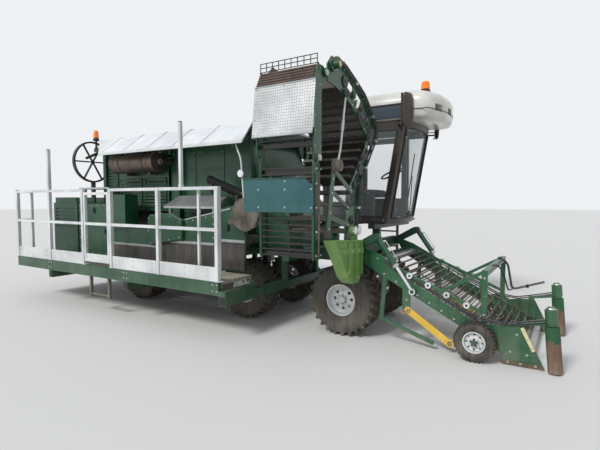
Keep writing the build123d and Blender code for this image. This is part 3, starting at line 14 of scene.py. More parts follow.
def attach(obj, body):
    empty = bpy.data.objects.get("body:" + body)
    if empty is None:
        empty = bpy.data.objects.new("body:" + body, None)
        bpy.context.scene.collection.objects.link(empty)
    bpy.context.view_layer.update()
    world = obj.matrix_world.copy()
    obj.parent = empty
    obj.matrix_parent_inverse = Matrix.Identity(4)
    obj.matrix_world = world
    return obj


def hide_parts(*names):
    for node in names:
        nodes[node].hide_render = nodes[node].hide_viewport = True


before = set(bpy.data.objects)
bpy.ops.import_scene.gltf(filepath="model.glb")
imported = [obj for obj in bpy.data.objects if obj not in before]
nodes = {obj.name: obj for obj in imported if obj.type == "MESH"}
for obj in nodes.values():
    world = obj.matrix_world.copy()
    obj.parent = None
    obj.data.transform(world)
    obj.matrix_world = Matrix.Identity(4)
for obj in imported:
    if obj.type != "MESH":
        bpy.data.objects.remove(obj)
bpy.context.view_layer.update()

# %% [markdown]
# ## The camera
# The picture was taken at head height, a little ahead of the right front corner. The
# camera's place, turn and lens were solved from the machine's own straight edges.

# %% Camera
CAMERA_PLACE = (4.275, -5.738, 1.75)
CAMERA_AZIMUTH = 32.2
CAMERA_PITCH = -3.34
CAMERA_LENS = 26.22
SENSOR_WIDTH = 36.0

camera_data = bpy.data.cameras.new("camera")
camera_data.lens = CAMERA_LENS
camera_data.sensor_width = SENSOR_WIDTH
camera_data.clip_end = 200.0
camera = bpy.data.objects.new("camera", camera_data)
camera.location = CAMERA_PLACE
camera.rotation_euler = (math.radians(90 + CAMERA_PITCH), 0, math.radians(CAMERA_AZIMUTH))
bpy.context.scene.collection.objects.link(camera)
bpy.context.scene.camera = camera
bpy.context.scene.view_settings.view_transform = "Standard"

# %% [markdown]
# ## Floor and light
# A studio needs a pale floor, one large soft key and an even sky. The sky that lights the
# machine and the sky that the camera sees are two backgrounds, mixed by Light Path, so that
# the picture stays pale without washing out the paint.

# %% Floor
FLOOR_SIZE = 160.0
bpy.ops.object.select_all(action="DESELECT")
bpy.ops.mesh.primitive_plane_add(size=FLOOR_SIZE, location=(0, 0, 0))
floor = bpy.context.object
floor.name = "floor"
floor_material = bpy.data.materials.new("pale floor")
floor_material.use_nodes = True
floor_shader = floor_material.node_tree.nodes["Principled BSDF"]
floor_shader.inputs["Base Color"].default_value = (0.66, 0.65, 0.63, 1)
floor_shader.inputs["Roughness"].default_value = 0.8
floor.data.materials.append(floor_material)

# %% Sky and key light
SKY_LIGHT = 0.62
SKY_SEEN = (0.86, 0.88, 0.90, 1)
KEY_STRENGTH = 2.3
KEY_SOFTNESS = 14.0
KEY_TURN = (48.0, 0.0, -12.0)

world = bpy.data.worlds.new("studio sky")
bpy.context.scene.world = world
world.use_nodes = True
sky_nodes = world.node_tree.nodes
sky_links = world.node_tree.links
sky = sky_nodes["Background"]
sky.inputs["Color"].default_value = (0.90, 0.94, 1.0, 1)
sky.inputs["Strength"].default_value = SKY_LIGHT
seen_sky = sky_nodes.new("ShaderNodeBackground")
seen_sky.inputs["Color"].default_value = SKY_SEEN
path = sky_nodes.new("ShaderNodeLightPath")
either = sky_nodes.new("ShaderNodeMath")
either.operation = "MAXIMUM"
sky_links.new(path.outputs["Is Camera Ray"], either.inputs[0])
sky_links.new(path.outputs["Is Glossy Ray"], either.inputs[1])
through = sky_nodes.new("ShaderNodeMath")
through.operation = "MAXIMUM"
sky_links.new(either.outputs[0], through.inputs[0])
sky_links.new(path.outputs["Is Transmission Ray"], through.inputs[1])
sky_mix = sky_nodes.new("ShaderNodeMixShader")
sky_links.new(through.outputs[0], sky_mix.inputs["Fac"])
sky_links.new(sky.outputs[0], sky_mix.inputs[1])
sky_links.new(seen_sky.outputs[0], sky_mix.inputs[2])
sky_links.new(sky_mix.outputs[0], sky_nodes["World Output"].inputs["Surface"])

key_data = bpy.data.lights.new("key", "SUN")
key_data.energy = KEY_STRENGTH
key_data.angle = math.radians(KEY_SOFTNESS)
key = bpy.data.objects.new("key", key_data)
key.rotation_euler = [math.radians(a) for a in KEY_TURN]
bpy.context.scene.collection.objects.link(key)

# %% [markdown]
# ## Weathering, one group for every paint
# Field machines carry pale dust that is thick near the ground and in hollows, and thin
# streaks and scuffs where people and hoses rub. That is one effect at many strengths, so it
# is a node group. Each paint gives it a colour and amounts, and gets back a colour, a
# roughness and a height for its bump.


# %% Helpers for node groups
def new_group(name, inputs, outputs):
    """An empty shader group with named sockets, and its two end nodes."""
    group = bpy.data.node_groups.new(name, "ShaderNodeTree")
    for label, kind, value in inputs:
        socket = group.interface.new_socket(label, in_out="INPUT", socket_type=kind)
        if value is not None:
            socket.default_value = value
    for label, kind in outputs:
        group.interface.new_socket(label, in_out="OUTPUT", socket_type=kind)
    return group, group.nodes.new("NodeGroupInput"), group.nodes.new("NodeGroupOutput")


def noise(tree, place, scale, detail=4.0, roughness=0.55):
    """Cloudy values between 0 and 1."""
    node = tree.nodes.new("ShaderNodeTexNoise")
    node.inputs["Scale"].default_value = scale
    node.inputs["Detail"].default_value = detail
    node.inputs["Roughness"].default_value = roughness
    tree.links.new(place, node.inputs["Vector"])
    return node.outputs["Fac"]


def stretched(tree, place, scale):
    """The same place, squeezed along its axes."""
    node = tree.nodes.new("ShaderNodeMapping")
    node.inputs["Scale"].default_value = scale
    tree.links.new(place, node.inputs["Vector"])
    return node.outputs["Vector"]


def ramp(tree, value, low, high, out_low=0.0, out_high=1.0):
    """Maps low..high to out_low..out_high, held at both ends."""
    node = tree.nodes.new("ShaderNodeMapRange")
    tree.links.new(value, node.inputs["Value"])
    for label, setting in (("From Min", low), ("From Max", high), ("To Min", out_low), ("To Max", out_high)):
        if hasattr(setting, "links"):
            tree.links.new(setting, node.inputs[label])
        else:
            node.inputs[label].default_value = setting
    return node.outputs["Result"]


def maths(tree, operation, first, second):
    """One sum of two values or sockets."""
    node = tree.nodes.new("ShaderNodeMath")
    node.operation = operation
    for socket, setting in zip(node.inputs, (first, second)):
        if hasattr(setting, "links"):
            tree.links.new(setting, socket)
        else:
            socket.default_value = setting
    return node.outputs[0]


def mixed(tree, share, first, second):
    """A mix of two colours."""
    node = tree.nodes.new("ShaderNodeMix")
    node.data_type = "RGBA"
    for socket, setting in ((node.inputs[0], share), (node.inputs[6], first), (node.inputs[7], second)):
        if hasattr(setting, "links"):
            tree.links.new(setting, socket)
        else:
            socket.default_value = setting
    return node.outputs[2]


def height_of(tree, place):
    """The Z of a place, in metres above the floor."""
    node = tree.nodes.new("ShaderNodeSeparateXYZ")
    tree.links.new(place, node.inputs[0])
    return node.outputs["Z"]


def upward(tree):
    """How far a surface faces the sky, 0 to 1."""
    geometry = tree.nodes.new("ShaderNodeNewGeometry")
    parts = tree.nodes.new("ShaderNodeSeparateXYZ")
    tree.links.new(geometry.outputs["Normal"], parts.inputs[0])
    return ramp(tree, parts.outputs["Z"], 0.25, 1.0)


# %% The weathering group
COLOUR, VALUE, VECTOR = "NodeSocketColor", "NodeSocketFloat", "NodeSocketVector"
weathering, w_in, w_out = new_group(
    "weathering",
    [("Place", VECTOR, None), ("Paint", COLOUR, (0.1, 0.1, 0.1, 1)), ("Dust", COLOUR, (0.42, 0.36, 0.28, 1)),
     ("Dust Amount", VALUE, 0.4), ("Dust Height", VALUE, 1.2), ("Scuffs", VALUE, 0.3), ("Bare", COLOUR, (0.2, 0.2, 0.2, 1)),
     ("Gloss", VALUE, 0.4)],
    [("Color", COLOUR), ("Roughness", VALUE), ("Height", VALUE)],
)
spots = noise(weathering, w_in.outputs["Place"], 3.1, 6.0)
fine = noise(weathering, w_in.outputs["Place"], 38.0, 5.0)
streaks = noise(weathering, stretched(weathering, w_in.outputs["Place"], (14, 14, 1.3)), 1.6, 5.0)
faded = ramp(weathering, spots, 0.35, 0.7, 0.82, 1.18)
tinted = weathering.nodes.new("ShaderNodeVectorMath")
tinted.operation = "SCALE"
weathering.links.new(w_in.outputs["Paint"], tinted.inputs[0])
weathering.links.new(faded, tinted.inputs["Scale"])
near_ground = ramp(weathering, height_of(weathering, w_in.outputs["Place"]), w_in.outputs["Dust Height"], 0.0)
lying = maths(weathering, "MULTIPLY", upward(weathering), 0.7)
where_dusty = maths(weathering, "ADD", maths(weathering, "MAXIMUM", near_ground, lying), 0.16)
cloud = ramp(weathering, maths(weathering, "ADD", maths(weathering, "MULTIPLY", spots, 0.6),
                               maths(weathering, "MULTIPLY", streaks, 0.5)), 0.38, 0.72)
dustiness = maths(weathering, "MULTIPLY", maths(weathering, "MULTIPLY", cloud, where_dusty), w_in.outputs["Dust Amount"])
dusty = mixed(weathering, dustiness, tinted.outputs["Vector"], w_in.outputs["Dust"])
scratch = noise(weathering, stretched(weathering, w_in.outputs["Place"], (3, 5, 40)), 4.0, 8.0, 0.7)
chipped = ramp(weathering, maths(weathering, "MULTIPLY", scratch, maths(weathering, "ADD", fine, 0.5)), 0.62, 0.70)
bare = maths(weathering, "MULTIPLY", chipped, w_in.outputs["Scuffs"])
weathering.links.new(mixed(weathering, bare, dusty, w_in.outputs["Bare"]), w_out.inputs["Color"])
weathering.links.new(maths(weathering, "ADD", w_in.outputs["Gloss"], maths(weathering, "MULTIPLY", dustiness, 0.45)),
                     w_out.inputs["Roughness"])
weathering.links.new(maths(weathering, "SUBTRACT", maths(weathering, "MULTIPLY", fine, 0.5), bare), w_out.inputs["Height"])
print("weathering group", len(weathering.nodes), "nodes")


# %% Materials that use it
DUST = (0.40, 0.35, 0.28, 1)


def surface(name):
    """A node material, its tree, its shader and the piece's own coordinates."""
    material = bpy.data.materials.new(name)
    material.use_nodes = True
    tree = material.node_tree
    place = tree.nodes.new("ShaderNodeTexCoord").outputs["Object"]
    return material, tree, tree.nodes["Principled BSDF"], place


def weathered(name, paint, gloss=0.4, dust=0.5, dust_height=1.1, scuffs=0.3, bare=(0.18, 0.17, 0.16), metal=0.0,
              bump=0.12, coat=0.0, dust_colour=DUST):
    """A surface with the weathering group in its colour, roughness and bump."""
    material, tree, shader, place = surface(name)
    group = tree.nodes.new("ShaderNodeGroup")
    group.node_tree = weathering
    tree.links.new(place, group.inputs["Place"])
    group.inputs["Paint"].default_value = (*paint, 1)
    group.inputs["Bare"].default_value = (*bare, 1)
    group.inputs["Dust"].default_value = dust_colour
    for label, value in (("Dust Amount", dust), ("Dust Height", dust_height), ("Scuffs", scuffs), ("Gloss", gloss)):
        group.inputs[label].default_value = value
    tree.links.new(group.outputs["Color"], shader.inputs["Base Color"])
    tree.links.new(group.outputs["Roughness"], shader.inputs["Roughness"])
    relief = tree.nodes.new("ShaderNodeBump")
    relief.inputs["Strength"].default_value = bump
    relief.inputs["Distance"].default_value = 0.004
    tree.links.new(group.outputs["Height"], relief.inputs["Height"])
    tree.links.new(relief.outputs["Normal"], shader.inputs["Normal"])
    shader.inputs["Metallic"].default_value = metal
    shader.inputs["Coat Weight"].default_value = coat
    shader.inputs["Coat Roughness"].default_value = 0.15
    return material


green = weathered("machine green enamel", (0.004, 0.062, 0.025), gloss=0.36, dust=0.22, scuffs=0.22, coat=0.2)
# A darker copy of the machine green: painted shade for the frame, axles, louvres and rear cabinet.
painted_shade_green = weathered("shaded green enamel", (0.005, 0.048, 0.023), gloss=0.42, dust=0.20, scuffs=0.3)
# The header's green is the machine green made lighter as painted sunlight; its heavy scuffs are real wear.
sunlit_header_paint = weathered("header green, worn and painted sunlit", (0.006, 0.086, 0.032), gloss=0.40, dust=0.26, dust_height=0.9, scuffs=0.8,
                         bare=(0.22, 0.16, 0.10), coat=0.15)
white = weathered("rail white", (0.62, 0.64, 0.64), gloss=0.42, dust=0.30, dust_height=1.4, scuffs=0.35,
                  bare=(0.28, 0.26, 0.24))
canopy_white = weathered("canopy white", (0.66, 0.69, 0.72), gloss=0.34, dust=0.25, scuffs=0.1, coat=0.2)
cream = weathered("cab roof cream", (0.60, 0.59, 0.54), gloss=0.28, dust=0.22, scuffs=0.08, coat=0.35)
teal = weathered("teal sheet", (0.010, 0.085, 0.092), gloss=0.33, dust=0.25, scuffs=0.25, coat=0.2)
drab = weathered("brown-grey shield", (0.105, 0.090, 0.070), gloss=0.6, dust=0.5, dust_height=2.4, scuffs=0.3,
                 bare=(0.30, 0.26, 0.20))
yellow = weathered("strut yellow", (0.74, 0.47, 0.018), gloss=0.38, dust=0.35, scuffs=0.6)
lime = weathered("lime boot", (0.13, 0.29, 0.055), gloss=0.5, dust=0.35, dust_height=2.0, scuffs=0.25)
brown = weathered("cab trim brown", (0.030, 0.022, 0.017), gloss=0.38, dust=0.25, dust_height=2.0, scuffs=0.15)
black = weathered("chain black", (0.020, 0.019, 0.018), gloss=0.55, dust=0.55, dust_height=2.6, scuffs=0.5,
                  bare=(0.24, 0.21, 0.18))
deck = weathered("deck grip", (0.34, 0.31, 0.25), gloss=0.7, dust=0.5, dust_height=2.0, scuffs=0.5,
                 bare=(0.16, 0.15, 0.14), bump=0.5)
iron = weathered("engine iron", (0.060, 0.060, 0.058), gloss=0.6, dust=0.35, scuffs=0.4, bare=(0.20, 0.19, 0.18))
rubber = weathered("dusty tyre rubber", (0.016, 0.0155, 0.015), gloss=0.68, dust=0.55, dust_height=1.2, scuffs=0.15,
                   bare=(0.10, 0.09, 0.08), bump=0.3, dust_colour=(0.25, 0.215, 0.17, 1))
zinc = weathered("galvanised sheet", (0.46, 0.48, 0.49), gloss=0.36, dust=0.35, dust_height=1.6, scuffs=0.3,
                 bare=(0.24, 0.20, 0.16), metal=0.75, bump=0.08)
chequer = weathered("chequer aluminium", (0.62, 0.63, 0.63), gloss=0.34, dust=0.25, scuffs=0.2, bare=(0.4, 0.4, 0.4),
                    metal=0.6, bump=0.05)
rusty = weathered("rusty divider", (0.115, 0.052, 0.028), gloss=0.75, dust=0.5, dust_height=0.5, scuffs=0.7,
                  bare=(0.020, 0.100, 0.045), bump=0.4)
exhaust = weathered("heated exhaust steel", (0.150, 0.118, 0.095), gloss=0.42, dust=0.3, scuffs=0.5,
                    bare=(0.09, 0.055, 0.035), metal=0.7, bump=0.2)
moulded = weathered("cab moulding", (0.045, 0.045, 0.047), gloss=0.55, dust=0.12, scuffs=0.05, bump=0.25)


# %% [markdown]
# ## Glass, chrome and lenses
# These have no dust cover of their own in the picture, so they are plain shaders with one
# fine noise in their roughness. Tinted glass is see-through by a low alpha.


# %% Clear finishes
def smooth(name, colour, low, high, metal=0.0, clear=0.0, alpha=1.0):
    """A clean finish whose roughness wanders between low and high."""
    material, tree, shader, place = surface(name)
    shader.inputs["Base Color"].default_value = (*colour, 1)
    tree.links.new(ramp(tree, noise(tree, place, 7.0), 0.3, 0.7, low, high), shader.inputs["Roughness"])
    shader.inputs["Metallic"].default_value = metal
    shader.inputs["Transmission Weight"].default_value = clear
    shader.inputs["Alpha"].default_value = alpha
    return material


chrome = smooth("chromed rod", (0.78, 0.79, 0.80), 0.06, 0.16, metal=1.0)
glass = smooth("tinted cab glass", (0.30, 0.36, 0.36), 0.02, 0.05, alpha=0.16)
amber = smooth("amber lens", (0.95, 0.22, 0.01), 0.10, 0.22)
lamp_glass = smooth("lamp lens", (0.80, 0.82, 0.84), 0.05, 0.12, metal=0.3)
mirror_face = smooth("mirror glass", (0.82, 0.84, 0.86), 0.02, 0.05, metal=1.0)
seal = smooth("rubber seal", (0.012, 0.012, 0.013), 0.5, 0.7)
hose = smooth("pipe black", (0.016, 0.016, 0.017), 0.32, 0.5)
brass = smooth("brass fitting", (0.62, 0.42, 0.16), 0.25, 0.4, metal=1.0)
bright = smooth("zinc bolt", (0.52, 0.52, 0.50), 0.25, 0.45, metal=0.9)

# %% [markdown]
# ## Paint the carried-over pieces
# A CAD piece whose form is right only needs its finish, so each one gets a material in its
# own slot and keeps its mesh.

# %% Finish of each CAD node
FINISHES = {
    green: ["outriggers", "side_panels", "separator_housing", "tower_frame", "unloader_arm", "unloader_end",
            "lift_barrels"],
    painted_shade_green: ["axles", "main_frame", "upper_frame", "rear_cabinet", "rear_right_knuckle", "rear_left_knuckle"],
    sunlit_header_paint: ["header_frame", "nose_plates"],
    white: ["railings", "side_gate", "end_gate"],
    canopy_white: ["canopy"],
    cream: ["cab_roof"],
    teal: ["teal_panel"],
    drab: ["octagon_cover"],
    yellow: ["yellow_struts"],
    lime: ["discharge_boot"],
    brown: ["cab_shell", "cab_door", "mirrors"],
    black: ["ladders", "inner_belts", "pickup_rods", "ring_guard", "guard_mesh"],
    deck: ["decks"],
    iron: ["engine_block"],
    zinc: ["trays", "header_rollers"],
    chequer: ["chequer_plate"],
    rusty: ["divider_right", "divider_left"],
    exhaust: ["muffler"],
    moulded: ["cab_interior"],
    chrome: ["lift_rods"],
    glass: ["cab_glass"],
    amber: ["beacons"],
}
for finish, names in FINISHES.items():
    for name in names:
        nodes[name].data.materials.clear()
        nodes[name].data.materials.append(finish)
for name in [n for n in nodes if n.endswith("_tyre")]:
    nodes[name].data.materials.clear()
    nodes[name].data.materials.append(rubber)
for name in [n for n in nodes if n.endswith("_rim")]:
    nodes[name].data.materials.clear()
    nodes[name].data.materials.append(white)
print("painted", sum(len(v) for v in FINISHES.values()), "nodes")

# %% [markdown]
# ## Modelling helpers
# New pieces are built as by hand: a primitive at its size and place, shaped in edit mode,
# finished by modifiers that are applied. These few helpers name those moves.


# %% Helpers for modelling
def deselect():
    bpy.ops.object.select_all(action="DESELECT")


def settled(name):
    """Applies the place, turn and size of the active object and names it."""
    piece = bpy.context.object
    bpy.ops.object.transform_apply(location=True, rotation=True, scale=True)
    piece.name = name
    piece.data.name = name
    return piece


def modify(piece, kind, **settings):
    """Adds one modifier with its settings and applies it."""
    bpy.context.view_layer.objects.active = piece
    modifier = piece.modifiers.new(kind.lower(), kind)
    for label, value in settings.items():
        setattr(modifier, label, value)
    bpy.ops.object.modifier_apply(modifier=modifier.name)
    return piece


def bevelled(piece, width, segments=1):
    return modify(piece, "BEVEL", width=width, segments=segments, limit_method="ANGLE")


def slab(name, low, high, edge=0.003):
    """A box between two corners with softened edges."""
    low, high = Vector(low), Vector(high)
    deselect()
    bpy.ops.mesh.primitive_cube_add(size=1, location=(low + high) / 2)
    bpy.context.object.scale = high - low
    piece = settled(name)
    return bevelled(piece, edge)


def round_bar(name, start, end, radius, sides=16, edge=0.0):
    """A round bar between two points."""
    start, end = Vector(start), Vector(end)
    along = end - start
    deselect()
    bpy.ops.mesh.primitive_cylinder_add(vertices=sides, radius=radius, depth=along.length, location=(start + end) / 2)
    bpy.context.object.rotation_euler = along.to_track_quat("Z", "Y").to_euler()
    piece = settled(name)
    if edge:
        bevelled(piece, edge)
    return piece


def joined(name, pieces):
    """One mesh of several pieces."""
    deselect()
    for piece in pieces:
        piece.select_set(True)
    bpy.context.view_layer.objects.active = pieces[0]
    bpy.ops.object.join()
    pieces[0].name = name
    pieces[0].data.name = name
    return pieces[0]


def copied(piece, name, move=(0, 0, 0), turn=(0, 0, 0)):
    """A copy with its own mesh, turned about the origin and then moved."""
    deselect()
    piece.select_set(True)
    bpy.context.view_layer.objects.active = piece
    bpy.ops.object.duplicate()
    bpy.context.object.rotation_euler = [math.radians(a) for a in turn]
    bpy.context.object.location = move
    return settled(name)


def drawn(name, points):
    """A line of edges through the points: one vertex, extruded from point to point."""
    deselect()
    bpy.ops.mesh.primitive_plane_add(size=0.01, location=points[0])
    bpy.ops.object.mode_set(mode="EDIT")
    bpy.ops.mesh.select_all(action="SELECT")
    bpy.ops.mesh.merge(type="CENTER")
    for here, there in zip(points, points[1:]):
        bpy.ops.mesh.extrude_region_move(TRANSFORM_OT_translate={"value": Vector(there) - Vector(here)})
    bpy.ops.object.mode_set(mode="OBJECT")
    return settled(name)


def spun(name, points, steps, axis=(0, 1, 0), centre=(0, 0, 0)):
    """A closed outline turned once about an axis."""
    piece = drawn(name, [*points, points[0]])
    bpy.ops.object.mode_set(mode="EDIT")
    bpy.ops.mesh.select_all(action="SELECT")
    bpy.ops.mesh.spin(steps=steps, angle=2 * math.pi, center=centre, axis=axis)
    bpy.ops.mesh.select_all(action="SELECT")
    bpy.ops.mesh.remove_doubles(threshold=0.0001)
    bpy.ops.mesh.normals_make_consistent(inside=False)
    bpy.ops.object.mode_set(mode="OBJECT")
    return piece


def ringed(piece, count):
    """Copies of a piece about the Y axis through the origin."""
    deselect()
    bpy.ops.object.empty_add()
    guide = bpy.context.object
    guide.rotation_euler = (0, 2 * math.pi / count, 0)
    bpy.context.view_layer.update()
    modify(piece, "ARRAY", count=count, use_relative_offset=False, use_object_offset=True, offset_object=guide)
    bpy.data.objects.remove(guide)
    return piece


def rowed(piece, count, step):
    """Copies of a piece along a step."""
    return modify(piece, "ARRAY", count=count, use_relative_offset=False, use_constant_offset=True,
                  constant_offset_displace=step)


def drilled(piece, cutter):
    """Cuts one piece with another, which is then gone."""
    modify(piece, "BOOLEAN", operation="DIFFERENCE", object=cutter, solver="EXACT")
    bpy.data.objects.remove(cutter)
    return piece


def dress(piece, material, slot, body, *stands_for, smooth_below=35.0):
    """Gives a finished piece its material and its body; the slot is not used."""
    piece.data.materials.clear()
    piece.data.materials.append(material)
    deselect()
    piece.select_set(True)
    bpy.context.view_layer.objects.active = piece
    bpy.ops.object.shade_smooth_by_angle(angle=math.radians(smooth_below))
    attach(piece, body)
    if stands_for:
        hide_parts(*stands_for)
    return piece


# %% [markdown]
# ## Road tyres
# The wheels carry chunky bar-tread tyres, brown with dust. A tyre is a section turned about
# its axle, and its tread is one bar repeated round it. Bars lean left and right by turns.

# %% Tyre and tread
TREAD_DEPTH = 0.024
BORE = 0.205


def tyre_section(radius, half, bore, shoulder=0.05, lip=0.012):
    """Outline of a carcass in (axle, radius) from bead to bead, then along the inside."""
    crown = radius
    outline = [
        (half * 0.80, bore), (half * 0.93, bore + lip), (half, bore + (crown - bore) * 0.42),
        (half * 0.985, crown - shoulder * 1.15), (half * 0.92, crown - shoulder * 0.45), (half * 0.72, crown - 0.004),
        (0, crown),
    ]
    return outline + [(-y, r) for y, r in reversed(outline[:-1])]


def bar_tread(name, radius, half, count, depth, width=0.046, lean=24.0):
    """Tread bars on both halves of a tyre, up to the full radius."""
    sides = []
    for side in (-1, 1):
        deselect()
        bpy.ops.mesh.primitive_cube_add(size=1, location=(0, side * half * 0.47, radius - depth))
        bar = bpy.context.object
        bar.scale = (width, half * 0.98, depth * 2)
        bar.rotation_euler = (0, 0, math.radians(side * lean))
        piece = settled(name)
        bpy.ops.object.mode_set(mode="EDIT")
        bpy.ops.mesh.select_all(action="DESELECT")
        bpy.ops.object.mode_set(mode="OBJECT")
        for vertex in piece.data.vertices:
            if vertex.co.z > radius - depth:
                vertex.co.x *= 0.8
                if abs(vertex.co.y) > half * 0.6:
                    vertex.co.z -= depth * 0.35
        bevelled(piece, 0.004)
        if side > 0:
            piece.data.transform(Matrix.Rotation(math.pi / count, 4, "Y"))
        sides.append(ringed(piece, count))
    return joined(name, sides)


def carcass(name, radius, half, bore, steps=64):
    """The rubber body of a tyre, turned from its section."""
    points = [(0, y, r) for y, r in tyre_section(radius, half, bore)]
    return spun(name, points, steps)


def treaded(name, radius, half, bore, count, depth, width):
    """A whole tyre about the Y axis at the origin."""
    body = carcass(name + "_carcass", radius - depth, half, bore)
    bars = bar_tread(name + "_bars", radius, half, count, depth, width)
    return joined(name, [body, bars])


# %% Six road tyres from two models
WHEELS = [  # row, radius, axle x
    ("front", 0.460, 1.760), ("middle", 0.435, 0.170), ("rear", 0.435, -2.200),
]
WHEEL_Y = 0.600
SIDES = (("right", -1), ("left", 1))
models = {}
for radius in (0.460, 0.435):
    models[radius] = treaded(f"road_tyre_{radius}", radius, 0.198, BORE, 26, TREAD_DEPTH, 0.05)
for row, radius, x in WHEELS:
    for side, sign in SIDES:
        tyre = copied(models[radius], f"{row}_{side}_road_tyre", (x, sign * WHEEL_Y, radius),
                      (0, 0, 0 if sign < 0 else 180))
        dress(tyre, rubber, "tyre_rubber", f"{row}_{side}_wheel", f"{row}_{side}_tyre")
for model in models.values():
    bpy.data.objects.remove(model)
print("road tyres done")

# %% [markdown]
# ## Wheel discs
# A pressed steel wheel is one turned section: a rim with rolled lips, a sloping wall and a
# dished centre. Hand holes are cut round the dish, and hub nuts stand on the centre.


# %% Wheel disc
def disc(name, lip, half, floor, holes, hole_radius, hole_circle, nuts, nut_circle, hub):
    """A dished steel wheel facing -Y, about the Y axis at the origin."""
    wall = 0.008
    section = [
        (-half, lip), (-half, lip - wall * 1.6), (-half + 0.03, lip - wall * 2.2), (floor - 0.012, lip - wall * 3.0),
        (floor, lip - wall * 5.5), (floor, hub * 1.35), (floor - 0.018, hub), (floor - 0.018, 0.001),
        (floor - 0.006, 0.001), (floor - 0.006, hub), (floor + wall, hub * 1.35), (floor + wall, lip - wall * 4.0),
        (floor + wall, lip - wall * 1.2), (half, lip - wall * 1.2), (half, lip),
    ]
    piece = spun(name, [(0, y, r) for y, r in section], 48)
    cutter = round_bar("hole", (0, floor - 0.05, hole_circle), (0, floor + 0.06, hole_circle), hole_radius, sides=20)
    drilled(piece, ringed(cutter, holes))
    nut = round_bar("nut", (0, floor - 0.040, nut_circle), (0, floor - 0.004, nut_circle), 0.011, sides=6, edge=0.002)
    cap = round_bar("cap", (0, floor - 0.060, 0), (0, floor - 0.012, 0), hub * 0.55, sides=24, edge=0.006)
    return piece, joined(name + "_hub", [ringed(nut, nuts), cap])


road_disc, road_hub = disc("road_disc", 0.2045, 0.172, -0.085, 8, 0.021, 0.118, 8, 0.062, 0.085)
for row, radius, x in WHEELS:
    for side, sign in SIDES:
        place, turn = (x, sign * WHEEL_Y, radius), (0, 0, 0 if sign < 0 else 180)
        body = f"{row}_{side}_wheel"
        dress(copied(road_disc, f"{row}_{side}_disc", place, turn), white, "white_paint", body, f"{row}_{side}_rim")
        dress(copied(road_hub, f"{row}_{side}_hub_nuts", place, turn), bright, "galvanised", body)
for model in (road_disc, road_hub):
    bpy.data.objects.remove(model)

# %% [markdown]
# ## Gauge wheels of the header
# Two small white wheels carry the header. They have ribbed tyres, clean white discs with a
# ring of holes, and green hubs.

# %% Gauge wheels
GAUGE_X, GAUGE_Y, GAUGE_RADIUS = 3.400, 0.805, 0.220
gauge_carcass = carcass("gauge_tyre", GAUGE_RADIUS - 0.010, 0.074, 0.118)
gauge_bars = bar_tread("gauge_bars", GAUGE_RADIUS, 0.074, 30, 0.010, 0.020, 18.0)
gauge_tyre = joined("gauge_tyre", [gauge_carcass, gauge_bars])
gauge_disc, gauge_hub = disc("gauge_disc", 0.1175, 0.062, -0.030, 8, 0.012, 0.082, 5, 0.036, 0.046)
for side, sign in SIDES:
    place, turn = (GAUGE_X, sign * GAUGE_Y, GAUGE_RADIUS), (0, 0, 0 if sign < 0 else 180)
    body = f"gauge_{side}_wheel"
    dress(copied(gauge_tyre, f"gauge_{side}_ribbed_tyre", place, turn), rubber, "tyre_rubber", body, f"gauge_{side}_tyre")
    dress(copied(gauge_disc, f"gauge_{side}_disc", place, turn), white, "white_paint", body, f"gauge_{side}_rim")
    dress(copied(gauge_hub, f"gauge_{side}_hub", place, turn), green, "green_paint", body)
for model in (gauge_tyre, gauge_disc, gauge_hub):
    bpy.data.objects.remove(model)
print("wheels done")

# %% [markdown]
# ## More ways to make a piece
# Flat steel is an outline that is filled and pushed out to its thickness. Pipes are a line
# with rounded corners that becomes a curve with a bevel. Bolts are one model, copied.


# %% Helpers for sheet, pipe and bolts
def cut_plate(name, points, push, edge=0.002):
    """A filled outline, pushed out along one direction."""
    piece = drawn(name, [*points, points[0]])
    bpy.ops.object.mode_set(mode="EDIT")
    bpy.ops.mesh.select_all(action="SELECT")
    bpy.ops.mesh.remove_doubles(threshold=0.0001)
    bpy.ops.mesh.edge_face_add()
    bpy.ops.mesh.extrude_region_move(TRANSFORM_OT_translate={"value": push})
    bpy.ops.mesh.select_all(action="SELECT")
    bpy.ops.mesh.normals_make_consistent(inside=False)
    bpy.ops.object.mode_set(mode="OBJECT")
    return bevelled(piece, edge) if edge else piece


def steel_pipe(name, points, radius, bend=0.05):
    """A round pipe along the points, bent at its corners."""
    piece = drawn(name, points)
    bpy.ops.object.mode_set(mode="EDIT")
    bpy.ops.mesh.select_all(action="SELECT")
    bpy.ops.mesh.bevel(offset=bend, offset_type="OFFSET", segments=4, affect="VERTICES")
    bpy.ops.object.mode_set(mode="OBJECT")
    bpy.ops.object.convert(target="CURVE")
    line = bpy.context.object
    line.data.bevel_depth = radius
    line.data.bevel_resolution = 2
    line.data.use_fill_caps = True
    bpy.ops.object.convert(target="MESH")
    piece = bpy.context.object
    piece.name = name
    piece.data.name = name
    return piece


def other_side(piece, name, middle=0.0):
    """The same piece on the machine's other side."""
    twin = copied(piece, name)
    twin.scale = (1, -1, 1)
    twin.location = (0, 2 * middle, 0)
    settled(name)
    bpy.ops.object.mode_set(mode="EDIT")
    bpy.ops.mesh.select_all(action="SELECT")
    bpy.ops.mesh.normals_make_consistent(inside=False)
    bpy.ops.object.mode_set(mode="OBJECT")
    return twin


def both_dressed(piece, material, slot, body):
    """Finishes a right-hand piece and its twin on the left."""
    twin = other_side(piece, piece.name + "_left")
    dress(twin, material, slot, body)
    return dress(piece, material, slot, body)


FACING = {"-y": (90, 0, 0), "+y": (-90, 0, 0), "+x": (0, 90, 0), "-x": (0, -90, 0), "+z": (0, 0, 0)}


